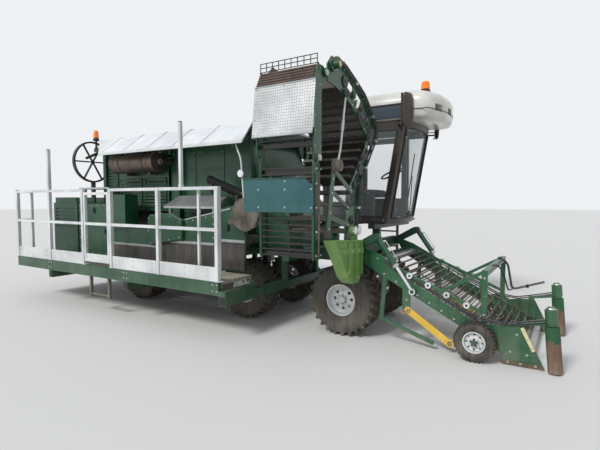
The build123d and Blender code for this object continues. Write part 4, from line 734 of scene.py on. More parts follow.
def bolts(name, facing, spots, size=0.013):
    """Hexagon heads on washers at the spots, as one mesh."""
    washer = round_bar("washer", (0, 0, -0.001), (0, 0, size * 0.2), size * 1.1, sides=12)
    head = round_bar("head", (0, 0, size * 0.15), (0, 0, size * 0.8), size * 0.75, sides=6, edge=size * 0.1)
    model = joined("bolt", [washer, head])
    heads = [copied(model, name, spot, FACING[facing]) for spot in spots]
    bpy.data.objects.remove(model)
    return joined(name, heads)


def spread(start, end, count):
    """Evenly spaced places from start to end."""
    start, end = Vector(start), Vector(end)
    return [start.lerp(end, i / (count - 1)) for i in range(count)]


# %% [markdown]
# ## Patterned metal
# Tread plate has a raised grid that is far too fine for geometry over five metres of deck,
# so it is a bump made of two crossing sets of bands, and its grooves are darkened as painted
# shade. Chain rods inside the green plates are bare black steel; the green ties between the
# plates are darkened with them as painted shade, so paint changes with the place.


# %% Grid relief and painted zones
def bands(tree, place, direction, pitch, low, high):
    """1 on raised bands across a direction and 0 in the grooves between them."""
    along = tree.nodes.new("ShaderNodeVectorMath")
    along.operation = "DOT_PRODUCT"
    tree.links.new(place, along.inputs[0])
    along.inputs[1].default_value = direction
    cell = maths(tree, "FRACT", maths(tree, "MULTIPLY", along.outputs["Value"], 1 / pitch), 0.0)
    return ramp(tree, maths(tree, "ABSOLUTE", maths(tree, "SUBTRACT", cell, 0.5), 0.0), low, high, 1.0, 0.0)


def recoloured(tree, shader, share, colour):
    """Mixes another colour over what already feeds the shader."""
    before = shader.inputs["Base Color"].links[0].from_socket
    tree.links.new(mixed(tree, share, before, (*colour, 1)), shader.inputs["Base Color"])


def grooved(material, first, second, pitch, low, high, groove_shade, colour=(0.05, 0.045, 0.04)):
    """Adds a grid of raised squares to a material's bump, with painted shade darkening its grooves."""
    tree = material.node_tree
    shader = tree.nodes["Principled BSDF"]
    place = [n for n in tree.nodes if n.bl_idname == "ShaderNodeTexCoord"][0].outputs["Object"]
    raised = maths(tree, "MULTIPLY", bands(tree, place, first, pitch, low, high),
                   bands(tree, place, second, pitch, low, high))
    # Painted shade: the grooves between the raised squares are darkened.
    recoloured(tree, shader, maths(tree, "MULTIPLY", maths(tree, "SUBTRACT", 1.0, raised), groove_shade), colour)
    relief = tree.nodes.new("ShaderNodeBump")
    relief.inputs["Strength"].default_value = 0.7
    relief.inputs["Distance"].default_value = 0.004
    tree.links.new(raised, relief.inputs["Height"])
    last = shader.inputs["Normal"].links[0].from_node
    tree.links.new(relief.outputs["Normal"], last.inputs["Normal"])


def zoned(material, direction, low, high, colour, strength=1.0, ragged=0.0):
    """Another colour between two limits along a direction, with a ragged border if asked."""
    tree = material.node_tree
    shader = tree.nodes["Principled BSDF"]
    place = [n for n in tree.nodes if n.bl_idname == "ShaderNodeTexCoord"][0].outputs["Object"]
    along = tree.nodes.new("ShaderNodeVectorMath")
    along.operation = "DOT_PRODUCT"
    tree.links.new(place, along.inputs[0])
    along.inputs[1].default_value = direction
    value = along.outputs["Value"]
    if ragged:
        drift = maths(tree, "MULTIPLY", maths(tree, "SUBTRACT", noise(tree, place, 16.0), 0.5), ragged)
        value = maths(tree, "ADD", value, drift)
    above = maths(tree, "GREATER_THAN", value, low)
    below = maths(tree, "LESS_THAN", value, high)
    share = maths(tree, "MULTIPLY", maths(tree, "MULTIPLY", above, below), strength)
    recoloured(tree, shader, share, colour)


# Painted shade in the grooves of the chequer plate and of the deck grip.
grooved(chequer, (1, 0, 0), (0, 0, 1), 0.032, 0.38, 0.47, 0.32)
grooved(deck, (0.7, 0.7, 0), (0.7, -0.7, 0), 0.055, 0.26, 0.40, 0.35, (0.16, 0.145, 0.12))
# The chain between the arm's plates is black; the same mask darkens the green ties between the plates as painted shade.
arm_green = weathered("arm green over black chain", (0.004, 0.062, 0.026), gloss=0.36, dust=0.22, scuffs=0.3, coat=0.2)
zoned(arm_green, (1, 0, 0), 1.172, 1.908, (0.020, 0.018, 0.016))
# The same black chain, and painted shade on the green ties, between the end section's plates.
end_green = weathered("end green over black chain", (0.004, 0.062, 0.026), gloss=0.36, dust=0.22, scuffs=0.3, coat=0.2)
zoned(end_green, (1, 0, 0), 1.196, 1.884, (0.020, 0.018, 0.016))
neck_green = weathered("neck green over brown flights", (0.004, 0.062, 0.025), gloss=0.36, dust=0.22, scuffs=0.25, coat=0.2)
zoned(neck_green, (1, 0, 0), 1.150, 1.930, (0.040, 0.026, 0.020))
for name, finish in (("unloader_arm", arm_green), ("unloader_end", end_green), ("tower_frame", neck_green)):
    nodes[name].data.materials.clear()
    nodes[name].data.materials.append(finish)

# %% [markdown]
# ## Railing fittings
# The white railing is welded tube. Collars sleeve every joint, bolted feet hold the posts to
# the platform's edge, and plastic caps close the tube ends.

# %% Collars, feet and caps
POST_X = (-4.200, -3.150, -2.200, -1.500, -0.470, 0.595)
POST_Y = -1.785
collars = []
for x in POST_X:
    for z in (1.380, 1.890):
        collars.append(slab("collar", (x - 0.030, POST_Y - 0.027, z - 0.033), (x + 0.030, POST_Y + 0.028, z + 0.020), 0.004))
collars += [slab("collar", (-0.046, POST_Y - 0.026, 1.868), (0.006, POST_Y + 0.027, 1.950), 0.004)]
both_dressed(joined("railing_collars", collars), white, "white_paint", "chassis")
feet = [slab("foot", (x - 0.055, POST_Y - 0.020, 0.740), (x + 0.055, POST_Y + 0.050, 0.750)) for x in POST_X]
both_dressed(joined("railing_feet", feet), white, "white_paint", "chassis")
both_dressed(bolts("railing_foot_bolts", "+z", [(x + d, POST_Y + 0.040, 0.749) for x in POST_X for d in (-0.04, 0.04)],
                   0.009), bright, "galvanised", "chassis")
both_dressed(bolts("toe_board_bolts", "-y", [(x + d, -1.795, z) for x in POST_X[:-1] for d in (0.09, 0.5, 0.9)
                                             for z in (0.80, 0.88) if x != -2.2], 0.008), bright, "galvanised", "chassis")
caps = [slab("cap", (x - 0.024, POST_Y - 0.024, z), (x + 0.024, POST_Y + 0.024, z + 0.010), 0.004)
        for x, z in ((-3.150, 2.570), (-4.2, 1.91), (0.595, 1.91))]
caps += [slab("cap", (-0.040, POST_Y - 0.020, 2.735), (0, POST_Y + 0.020, 2.745), 0.004)]
both_dressed(joined("tube_caps", caps), seal, "cab_plastic", "chassis")
print("railing fittings", len(collars), "collars")

# %% [markdown]
# ## Side cladding
# Sheet panels are bolted along their edges and shut by small latches. Below them hang black
# rubber skirts that keep fruit and mud in, clamped under a flat bar. They ripple a little,
# which a finely divided sheet shows once its points are shifted by a few sine waves.


# %% Skirts, bolts and latches
def skirt(name, x0, x1, z0, z1):
    """A rippled rubber flap on the outside of the right panels."""
    deselect()
    bpy.ops.mesh.primitive_grid_add(x_subdivisions=48, y_subdivisions=10, size=1, location=((x0 + x1) / 2, -1.139, (z0 + z1) / 2),
                                    rotation=(math.radians(90), 0, 0))
    bpy.context.object.scale = (x1 - x0, z1 - z0, 1)
    piece = settled(name)
    for vertex in piece.data.vertices:
        drop = (z1 - vertex.co.z) / (z1 - z0)
        wave = math.sin(vertex.co.x * 19.0) * 0.6 + math.sin(vertex.co.x * 43.0 + 1.0) * 0.4
        vertex.co.y -= 0.009 * drop * (1 + wave)
        vertex.co.z += 0.006 * drop * math.sin(vertex.co.x * 7.0)
    return modify(piece, "SOLIDIFY", thickness=0.006, offset=0.0)


skirt_rubber = weathered("skirt rubber", (0.022, 0.020, 0.020), gloss=0.5, dust=0.45, dust_height=1.3, scuffs=0.3,
                         bare=(0.09, 0.08, 0.07), bump=0.2)
SKIRTS = (("skirt_middle", -1.185, -0.070, 1.120), ("skirt_front", -0.055, 0.496, 1.185), ("skirt_rear", -2.412, -1.198, 1.020))
for name, x0, x1, top in SKIRTS:
    both_dressed(skirt(name, x0, x1, 0.775, top), skirt_rubber, "tyre_rubber", "chassis")
    both_dressed(slab(name + "_bar", (x0, -1.149, top - 0.030), (x1, -1.134, top + 0.010)), zinc, "galvanised", "chassis")
    both_dressed(bolts(name + "_bolts", "-y", spread((x0 + 0.05, -1.149, top - 0.010), (x1 - 0.05, -1.149, top - 0.010), 8),
                       0.009), bright, "galvanised", "chassis")
edge_spots = spread((-3.36, -1.134, 1.640), (-2.46, -1.134, 1.640), 6) + spread((-3.36, -1.134, 0.80), (-2.46, -1.134, 0.80), 6)
edge_spots += spread((-3.37, -1.134, 0.90), (-3.37, -1.134, 1.56), 5) + spread((-2.45, -1.134, 0.90), (-2.45, -1.134, 1.56), 5)
edge_spots += spread((-0.03, -1.134, 1.27), (-0.03, -1.134, 1.56), 3) + spread((0.0, -1.134, 1.585), (0.30, -1.134, 1.645), 4)
edge_spots += spread((-0.62, -1.134, 1.415), (-0.10, -1.134, 1.520), 5) + spread((-0.09, -1.134, 1.20), (-0.09, -1.134, 1.50), 4)
both_dressed(bolts("panel_bolts", "-y", edge_spots, 0.010), bright, "galvanised", "chassis")
guard_spots = [(-1.40, 1.46), (-1.17, 1.49), (-0.91, 1.50), (-0.71, 1.41), (-0.715, 1.18), (-0.95, 1.135), (-1.17, 1.10),
               (-1.36, 1.07), (-1.41, 1.26)]
both_dressed(bolts("guard_bolts", "-y", [(x, -1.194, z) for x, z in guard_spots], 0.011), bright, "galvanised", "chassis")
strip = cut_plate("panel_edge_strip", [(-0.69, -1.134, 1.452), (0.24, -1.134, 1.632), (0.24, -1.134, 1.612),
                                       (-0.69, -1.134, 1.432)], (0, -0.010, 0))
both_dressed(strip, zinc, "galvanised", "chassis")
latches = []
for x, z in ((-2.92, 1.56), (-2.60, 1.20), (-3.22, 1.20), (0.20, 1.36)):
    latches.append(slab("latch_plate", (x - 0.030, -1.142, z - 0.055), (x + 0.030, -1.133, z + 0.055), 0.004))
    latches.append(slab("latch_lever", (x - 0.011, -1.160, z - 0.040), (x + 0.011, -1.140, z + 0.030), 0.005))
both_dressed(joined("panel_latches", latches), seal, "cab_plastic", "chassis")
seams = [slab("seam", (x - 0.004, -1.137, 0.775), (x + 0.004, -1.133, top)) for x, top in ((-2.419, 1.27), (-1.191, 1.03))]
both_dressed(joined("panel_seams", seams), seal, "cab_plastic", "chassis")
print("cladding done")

# %% [markdown]
# ## Engine wall, louvres and silencer
# Air leaves through banks of pressed louvres. One louvre is a slanted strip, repeated up its
# frame. The silencer is rolled sheet with pressed beads, strapped to its saddles.


# %% Louvres, covers and silencer bands
def louvre_bank(name, x0, x1, z0, z1, face, pitch=0.055):
    """A framed bank of slanted strips on the outside of a right-hand wall."""
    sides = [slab("frame", (x0, face - 0.020, z0), (x1, face + 0.002, z0 + 0.025)),
             slab("frame", (x0, face - 0.020, z1 - 0.025), (x1, face + 0.002, z1)),
             slab("frame", (x0, face - 0.020, z0), (x0 + 0.025, face + 0.002, z1)),
             slab("frame", (x1 - 0.025, face - 0.020, z0), (x1, face + 0.002, z1))]
    low = z0 + 0.035
    strip = cut_plate("strip", [(x0 + 0.02, face, low + 0.030), (x0 + 0.02, face - 0.026, low), (x0 + 0.02, face - 0.026, low - 0.005),
                                (x0 + 0.02, face, low + 0.020)], (x1 - x0 - 0.04, 0, 0), 0.0)
    return joined(name, [*sides, rowed(strip, int((z1 - z0 - 0.05) / pitch), (0, 0, pitch))])


for index, (x0, x1, z0, z1) in enumerate(((-3.20, -2.78, 1.66, 2.58), (-2.72, -2.12, 1.62, 2.12), (-2.06, -1.50, 1.62, 2.12))):
    bank = louvre_bank(f"engine_louvres_{index}", x0, x1, z0, z1, -0.730)
    both_dressed(bank, painted_shade_green, "green_paint", "chassis")
covers = []
for x0, x1, z0, z1 in ((-1.38, -0.86, 1.92, 2.52), (-0.78, -0.26, 1.92, 2.52), (-1.38, -0.26, 1.30, 1.80)):
    covers.append(slab("cover", (x0, -0.702, z0), (x1, -0.688, z1), 0.005))
    covers.append(slab("rib", (x0 + 0.06, -0.712, (z0 + z1) / 2 - 0.02), (x1 - 0.06, -0.698, (z0 + z1) / 2 + 0.02), 0.006))
both_dressed(joined("inspection_covers", covers), green, "green_paint", "chassis")
cover_spots = [(x, -0.702, z) for x0, x1, z0, z1 in ((-1.38, -0.86, 1.92, 2.52), (-0.78, -0.26, 1.92, 2.52))
               for x in (x0 + 0.03, x1 - 0.03) for z in (z0 + 0.03, z1 - 0.03)]
both_dressed(bolts("cover_bolts", "-y", cover_spots, 0.011), bright, "galvanised", "chassis")


def band(name, x, y, z, radius, width, wall=0.006):
    """A strap round the silencer."""
    return spun(name, [(x - width / 2, y, z + radius), (x + width / 2, y, z + radius), (x + width / 2, y, z + radius + wall),
                       (x - width / 2, y, z + radius + wall)], 40, axis=(1, 0, 0), centre=(x, y, z))


MUFFLER = (-0.900, 2.365, 0.162)
beads = [band("bead", x, MUFFLER[0], MUFFLER[1], MUFFLER[2] - 0.001, w, 0.005) for x, w in
         ((-2.575, 0.030), (-2.48, 0.014), (-2.05, 0.014), (-1.62, 0.014), (-1.500, 0.030))]
dress(joined("silencer_beads", beads), exhaust, "exhaust_steel", "chassis")
straps = [band("strap", x, MUFFLER[0], MUFFLER[1], MUFFLER[2], 0.045, 0.004) for x in (-2.34, -1.735)]
straps += [slab("lug", (x - 0.022, -1.010, 2.505), (x + 0.022, -0.955, 2.530)) for x in (-2.34, -1.735)]
dress(joined("silencer_straps", straps), black, "dark_steel", "chassis")
clamps = [band("clamp", -2.66, MUFFLER[0], MUFFLER[1], 0.055, 0.035, 0.005), band("clamp", -1.435, MUFFLER[0], MUFFLER[1], 0.048, 0.03)]
dress(joined("pipe_clamps", clamps), zinc, "galvanised", "chassis")
print("engine wall done")

# %% [markdown]
# ## Canopy trim
# The canopy is folded sheet. Its eaves end in a white rolled hem, and folded seams stand
# across it where two sheets meet.


# %% Hems and standing seams
def sloped(name, x, width, rise):
    """A seam that follows the right slope of the canopy."""
    low, high, ridge = (-1.198, 2.543), (-0.800, 2.840), (0.0, 2.880)
    points = [(x, low[0], low[1]), (x, high[0], high[1]), (x, ridge[0], ridge[1]), (x, ridge[0], ridge[1] + rise),
              (x, high[0], high[1] + rise), (x, low[0], low[1] + rise)]
    return cut_plate(name, points, (width, 0, 0))


seams = [sloped("seam", x, 0.022, 0.012) for x in (-2.60, -2.02, -1.44, -0.86, -0.28)]
both_dressed(joined("canopy_seams", seams), canopy_white, "white_paint", "chassis")
hems = [slab("hem", (-2.660, -1.208, 2.500), (0.505, -1.196, 2.548), 0.004)]
both_dressed(joined("canopy_hems", hems), white, "white_paint", "chassis")
stays = [steel_pipe("stay", [(0.30, -1.120, 2.560), (0.42, -1.120, 2.30), (0.47, -1.120, 1.700)], 0.011)]
stays += [slab("stay_foot", (0.43, -1.140, 1.640), (0.51, -1.100, 1.720), 0.004)]
both_dressed(joined("canopy_stays", stays), white, "white_paint", "chassis")
lamp = spun("work_lamp", [(0.440, -1.120, 2.100), (0.440, -1.130, 2.140), (0.440, -1.160, 2.150), (0.440, -1.160, 2.100)], 24,
            axis=(0, 1, 0), centre=(0.440, -1.120, 2.100))
both_dressed(lamp, lamp_glass, "galvanised", "chassis")
print("canopy done")

# %% [markdown]
# ## Machinery on the swan neck
# The neck carries sprockets, flanged bearings and the steel pipes of its hydraulic motor. A
# sprocket is one tooth ringed about a turned disc, and each bearing is a turned flange with
# four bolts, so both are made once at the origin and then placed.

# %% Sprockets and bearings
NECK = [  # outer and inner edge of the neck as (y, z), head to foot
    ((-1.480, 3.230), (-1.480, 3.040)), ((-1.380, 3.338), (-1.300, 3.025)), ((-1.078, 3.290), (-1.060, 2.960)),
    ((-0.780, 3.172), (-0.860, 2.870)), ((-0.517, 3.052), (-0.690, 2.760)), ((-0.260, 2.850), (-0.520, 2.640)),
    ((-0.113, 2.700), (-0.440, 2.540)), ((-0.150, 2.540), (-0.470, 2.430)), ((-0.292, 2.380), (-0.590, 2.280)),
    ((-0.470, 2.165), (-0.760, 2.085)), ((-0.640, 1.960), (-0.930, 1.900)), ((-0.680, 1.650), (-1.020, 1.600)),
]
NECK_FACE = 1.950


def across_neck(station, share, x=NECK_FACE):
    """A place across the neck at one station."""
    (y0, z0), (y1, z1) = NECK[station]
    return x, y0 + (y1 - y0) * share, z0 + (z1 - z0) * share


def sprocket(name, radius, teeth):
    """A toothed wheel about the Y axis at the origin."""
    wheel = spun(name, [(0, -0.005, 0.016), (0, -0.005, radius), (0, 0.005, radius), (0, 0.005, 0.016)], 40)
    tooth = slab("tooth", (-0.006, -0.004, radius - 0.006), (0.006, 0.004, radius + 0.012), 0.003)
    hub = spun("hub", [(0, -0.016, 0.001), (0, -0.016, 0.020), (0, -0.004, 0.028), (0, 0.005, 0.028), (0, 0.005, 0.001)], 24)
    return joined(name, [wheel, ringed(tooth, teeth), hub])


def bearing(name, radius):
    """A flanged bearing with four bolts, about the Y axis at the origin."""
    body = spun(name, [(0, 0.006, 0.001), (0, 0.006, radius), (0, -0.006, radius), (0, -0.012, radius * 0.62),
                       (0, -0.030, radius * 0.52), (0, -0.034, radius * 0.30), (0, -0.034, 0.001)], 32)
    nut = round_bar("nut", (0, -0.016, radius * 0.80), (0, -0.004, radius * 0.80), 0.008, sides=6)
    return joined(name, [body, ringed(nut, 4)])


wheel_model = sprocket("sprocket_model", 0.062, 18)
small_wheel = sprocket("small_sprocket_model", 0.036, 12)
bearing_model = bearing("bearing_model", 0.055)
sprockets = [copied(wheel_model, "sprocket", across_neck(s, 0.50, NECK_FACE + 0.012), (0, 0, 90)) for s in (2, 6, 9)]
sprockets += [copied(small_wheel, "sprocket", across_neck(s, 0.52, NECK_FACE + 0.010), (0, 0, 90)) for s in (3, 4, 5, 7, 8, 10)]
dress(joined("neck_sprockets", sprockets), iron, "dark_steel", "chassis")
bearings = [copied(bearing_model, "bearing", across_neck(s, 0.90, NECK_FACE + 0.026), (0, 0, 90)) for s in (2, 4, 6, 8)]
bearings += [copied(bearing_model, "bearing", (NECK_FACE + 0.006, y, z), (0, 0, 90)) for y, z in
             ((-0.86, 1.50), (-0.86, 1.22), (-0.98, 1.72))]
dress(joined("neck_bearings", bearings), iron, "dark_steel", "chassis")
rear_bearings = [copied(bearing_model, "bearing", across_neck(s, 0.50, 1.124), (0, 0, -90)) for s in (2, 4, 6, 8, 10)]
dress(joined("neck_rear_bearings", rear_bearings), iron, "dark_steel", "chassis")
neck_spots = [across_neck(s, share) for s in range(2, 12) for share in (0.10, 0.92) if (s, share) not in
              ((2, 0.92), (4, 0.92), (6, 0.92), (8, 0.92))]
dress(bolts("neck_bolts", "+x", neck_spots, 0.011), bright, "galvanised", "chassis")
leg_spots = [(1.966, y, z) for y, z in ((-1.47, 1.42), (-1.44, 1.60), (-1.40, 1.82), (-1.37, 1.98), (-1.34, 2.09), (-0.92, 1.86),
                                        (-1.00, 1.45), (-1.00, 1.66))]
dress(bolts("leg_bolts", "+x", leg_spots, 0.012), bright, "galvanised", "chassis")
print("neck machinery done")

# %% Motor pipes, gearbox and stay
runs = []
for offset, share in ((0.012, 0.02), (0.030, 0.10)):
    points = [(1.990, -1.372, 3.300), (1.990, -1.250, 3.335 - offset)]
    points += [across_neck(s, share, NECK_FACE + 0.014 + offset * 0.4) for s in (2, 3, 4, 5, 6, 7, 8, 9, 10, 11)]
    points += [(1.962, -0.700 - offset, 1.330)]
    runs.append(steel_pipe("pipe", points, 0.009, 0.045))
dress(joined("motor_pipes", runs), hose, "dark_steel", "chassis")
clips = [slab("clip", (NECK_FACE - 0.001, across_neck(s, 0.06)[1] - 0.030, across_neck(s, 0.06)[2] - 0.016),
              (NECK_FACE + 0.038, across_neck(s, 0.06)[1] + 0.026, across_neck(s, 0.06)[2] + 0.016), 0.004) for s in (3, 5, 7, 9, 11)]
dress(joined("pipe_clips", clips), zinc, "galvanised", "chassis")
gearbox = spun("leg_gearbox", [(1.962, -1.330, 2.130), (1.962, -1.330, 2.215), (1.985, -1.330, 2.215), (1.990, -1.330, 2.200),
                               (2.040, -1.330, 2.195), (2.050, -1.330, 2.170), (2.050, -1.330, 2.145), (2.062, -1.330, 2.145),
                               (2.062, -1.330, 2.130)], 32, axis=(1, 0, 0), centre=(1.962, -1.330, 2.130))
dress(gearbox, drab, "brown_grey_paint", "chassis")
gear_bolts = bolts("gearbox_bolts", "+x", [(1.985, -1.330 + 0.073 * math.cos(a), 2.130 + 0.073 * math.sin(a)) for a in
                                           (0.4, 1.45, 2.5, 3.55, 4.6, 5.65)], 0.008)
dress(gear_bolts, bright, "galvanised", "chassis")
stay = steel_pipe("neck_stay", [(1.962, -1.060, 2.985), (1.962, -1.190, 2.330), (1.976, -1.290, 2.150)], 0.013, 0.03)
knuckles = [round_bar("knuckle", (1.948, -1.062, 2.978), (1.978, -1.062, 2.978), 0.026, sides=20, edge=0.004)]
knuckles += [round_bar("turnbuckle", (1.962, -1.122, 2.672), (1.962, -1.148, 2.542), 0.020, sides=6, edge=0.004)]
dress(joined("neck_stay", [stay, *knuckles]), bright, "galvanised", "chassis")
motor = [round_bar("port", (1.985, -1.372, 3.300), (1.985, -1.372, 3.330), 0.014, sides=6, edge=0.002),
         round_bar("port", (2.010, -1.372, 3.300), (2.010, -1.372, 3.325), 0.014, sides=6, edge=0.002),
         round_bar("end", (2.044, -1.372, 3.236), (2.052, -1.372, 3.236), 0.030, sides=24, edge=0.003)]
dress(joined("motor_ports", motor), brass, "galvanised", "chassis")
dress(bolts("motor_bolts", "+x", [(1.973, -1.372 + 0.058 * math.cos(a), 3.236 + 0.058 * math.sin(a)) for a in (0.8, 2.3, 3.9, 5.5)],
            0.009), bright, "galvanised", "chassis")

# %% [markdown]
# ## The unloading arm
# The arm's chain runs between two plates behind a tread plate. A dark strip of rods closes
# the gap above that plate. Bolts, hinge washers and folded rims show how it is put together.

# %% Arm and end section
strip = cut_plate("arm_strip", [(1.172, -1.737, 3.012), (1.172, -1.650, 3.186), (1.172, -1.643, 3.183), (1.172, -1.730, 3.009)],
                  (0.736, 0, 0), 0.0)
slats = [round_bar("slat", (1.172, y, z), (1.908, y, z), 0.009, sides=10) for y, z in
         ((-1.731, 3.030), (-1.714, 3.064), (-1.697, 3.098), (-1.680, 3.132), (-1.663, 3.166))]
chain_brown = weathered("worn chain brown", (0.050, 0.020, 0.013), gloss=0.5, dust=0.4, dust_height=3.4, scuffs=0.6,
                        bare=(0.16, 0.11, 0.07))
dress(joined("arm_strip", [strip, *slats]), chain_brown, "dark_steel", "unloader_arm")
washers = [round_bar("washer", (1.9495, -1.500, 3.130), (1.958, -1.500, 3.130), 0.036, sides=28, edge=0.003),
           round_bar("pin_head", (1.956, -1.500, 3.130), (1.966, -1.500, 3.130), 0.020, sides=20, edge=0.003)]
dress(joined("hinge_washers", washers), bright, "galvanised", "chassis")
end_washers = [round_bar("washer", (1.950, -1.650, 2.200), (1.956, -1.650, 2.200), 0.036, sides=28, edge=0.002),
               round_bar("pin_head", (1.955, -1.650, 2.200), (1.964, -1.650, 2.200), 0.020, sides=20, edge=0.003)]
dress(joined("end_hinge_washers", end_washers), bright, "galvanised", "unloader_end")
arm_spots = [(1.926, -1.705, z) for z in (2.32, 2.48, 2.64, 2.80, 2.96)] + [(1.926, -1.595, z) for z in (2.32, 2.56, 2.80, 2.98)]
arm_spots += [(1.926, -1.600, 3.150), (1.926, -1.660, 3.060)]
dress(bolts("arm_bolts", "+x", arm_spots, 0.007), bright, "galvanised", "unloader_arm")
end_spots = [(1.926, -1.680, z) for z in (1.14, 1.40, 1.66, 1.92, 2.08)] + [(1.926, -1.580, z) for z in (1.14, 1.50, 1.90, 2.08)]
dress(bolts("end_bolts", "+x", end_spots, 0.010), bright, "galvanised", "unloader_end")


def on_tread_plate(x, z):
    """A place on the outside of the slanted tread plate."""
    return x, -1.7365 - (3.012 - z) * 0.1206, z


plate_spots = [on_tread_plate(x, z) for x in (1.172, 1.548, 1.924) for z in (2.47, 2.99)]
plate_spots += [on_tread_plate(x, z) for x in (1.172, 1.924) for z in (2.64, 2.82)]
dress(bolts("tread_plate_bolts", "-y", plate_spots, 0.009), bright, "galvanised", "unloader_arm")
rim = [cut_plate("rim", [(1.150, -1.736, 3.012), (1.150, -1.745, 3.018), (1.150, -1.745, 3.006), (1.150, -1.738, 3.000)],
                 (0.796, 0, 0), 0.001),
       cut_plate("rim", [(1.150, -1.800, 2.436), (1.150, -1.808, 2.440), (1.150, -1.807, 2.454), (1.150, -1.799, 2.452)],
                 (0.796, 0, 0), 0.001)]
dress(joined("tread_plate_rims", rim), zinc, "chequer", "unloader_arm")
lips = [slab("lip", (0.957, -1.726, 1.984), (1.780, -1.700, 1.992)), slab("lip", (0.957, -1.722, 1.604), (1.902, -1.700, 1.612))]
dress(joined("shield_lips", lips), teal, "teal_paint", "unloader_end")
dress(bolts("shield_bolts", "-y", [(x, -1.712, z) for x in (1.17, 1.54, 1.88) for z in (1.66, 1.86)] + [(1.54, -1.712, 1.95)],
            0.011), bright, "galvanised", "unloader_end")
guide = slab("end_guide", (1.926, -1.645, 1.120), (1.936, -1.615, 2.040), 0.003)
dress(guide, chain_brown, "dark_steel", "unloader_end")
print("arm done")

# %% [markdown]
# ## Hopper and its lamps
# The lime hopper is folded sheet with a rolled top rim. Two round lamps stand over it: each
# is a turned chrome shell with a domed lens.

# %% Hopper rim, bolts and lamps
rim = cut_plate("hopper_rim", [(2.092, -1.585, 1.306), (2.092, -0.852, 1.262), (2.092, -0.852, 1.244), (2.092, -1.575, 1.288)],
                (0.022, 0, 0), 0.003)
dress(rim, lime, "lime_paint", "chassis")
hopper_spots = [(2.114, y, z) for y, z in ((-1.40, 1.17), (-1.165, 1.155), (-0.99, 1.145))] + [(2.100, y, z) for y, z in
                                                                                          ((-1.16, 0.82), (-0.99, 0.82))]
dress(bolts("hopper_bolts", "+x", hopper_spots, 0.011), bright, "galvanised", "chassis")
shells, lenses = [], []
for y in (-1.000, -0.886):
    shells.append(spun("shell", [(2.020, y, 1.420), (2.066, y, 1.432), (2.076, y, 1.432), (2.076, y, 1.424), (2.068, y, 1.422),
                                 (2.024, y, 1.412)], 32, axis=(1, 0, 0), centre=(2.02, y, 1.378)))
    lenses.append(spun("lens", [(2.068, y, 1.378), (2.068, y, 1.424), (2.074, y, 1.420), (2.080, y, 1.400), (2.082, y, 1.378)], 32,
                       axis=(1, 0, 0), centre=(2.068, y, 1.378)))
white_lens = smooth("ribbed white lens", (0.86, 0.88, 0.88), 0.10, 0.25)
dress(joined("hopper_lamp_shells", shells), chrome, "chrome_rod", "chassis")
dress(joined("hopper_lamp_lenses", lenses), white_lens, "window_glass", "chassis")
print("hopper done")

# %% [markdown]
# ## Header details
# The header is the most worked part of the machine. Its noses are rusty along the ground,
# and its frame shows bolts, white idler discs, steel pipes and the cylinders' glands.

# %% Rust, bolts and strips
RUST = (0.13, 0.065, 0.035)
zoned(sunlit_header_paint, (0, 0, 1), -1.0, 0.052, RUST, 0.8, 0.09)
# The dividers' green tops take the header's green, which is lightened as painted sunlight.
zoned(rusty, (0, 0, 1), 0.330, 0.90, (0.006, 0.086, 0.032), 0.9, 0.30)


def belt_height(x, rise=0.0):
    """Height of the header's chain at x, plus a rise."""
    return 1.010 - (x - 2.180) * 0.52616 + rise


SIDE_FACE = -0.720
frame_spots = [(x, SIDE_FACE, belt_height(x, -0.085)) for x in (2.33, 2.48, 2.74, 2.88, 3.02, 3.16, 3.30)]
frame_spots += [(x, SIDE_FACE, belt_height(x, 0.050)) for x in (2.24, 2.36, 2.48)] + [(3.47, SIDE_FACE, z) for z in (0.50, 0.90)]
frame_spots += [(2.61, SIDE_FACE, z) for z in (0.47, 0.56)] + [(3.40, SIDE_FACE, 0.27)]
both_dressed(bolts("header_bolts", "-y", frame_spots, 0.011), bright, "galvanised", "header")
nose_spots = [(3.72, -0.740, 0.040), (3.84, -0.740, 0.040), (3.98, -0.740, 0.040), (3.74, -0.732, 0.15), (3.80, -0.732, 0.34),
              (3.90, -0.732, 0.14)]
both_dressed(bolts("nose_bolts", "-y", nose_spots, 0.012), bright, "galvanised", "header")
pale = weathered("worn cream strip", (0.72, 0.66, 0.38), gloss=0.45, dust=0.35, dust_height=0.7, scuffs=0.6)
cream_strip = cut_plate("nose_strip", [(3.8305, -0.740, 0.4135), (3.8615, -0.740, 0.4285), (3.9755, -0.740, 0.1965),
                                       (3.9445, -0.740, 0.1815)], (0, -0.004, 0), 0.001)
both_dressed(cream_strip, pale, "cream_paint", "header")
both_dressed(bolts("strip_bolts", "-y", [(3.862, -0.744, 0.388), (3.903, -0.744, 0.305), (3.943, -0.744, 0.222)], 0.007), bright,
             "galvanised", "header")
rib = cut_plate("strut_rib", [(2.650, -0.730, 0.445), (3.085, -0.730, 0.161), (3.068, -0.730, 0.135), (2.633, -0.730, 0.419)],
                (0, -0.005, 0), 0.002)
both_dressed(rib, yellow, "yellow_paint", "header")
rings = [spun("ring", [(x, -0.730, z + 0.012), (x, -0.730, z + 0.026), (x, -0.737, z + 0.024), (x, -0.737, z + 0.012)], 28,
              axis=(0, 1, 0), centre=(x, -0.730, z)) for x, z in ((3.118, 0.122), (2.640, 0.432), (2.585, 0.410))]
both_dressed(joined("strut_rings", rings), black, "dark_steel", "header")
print("header trim done")

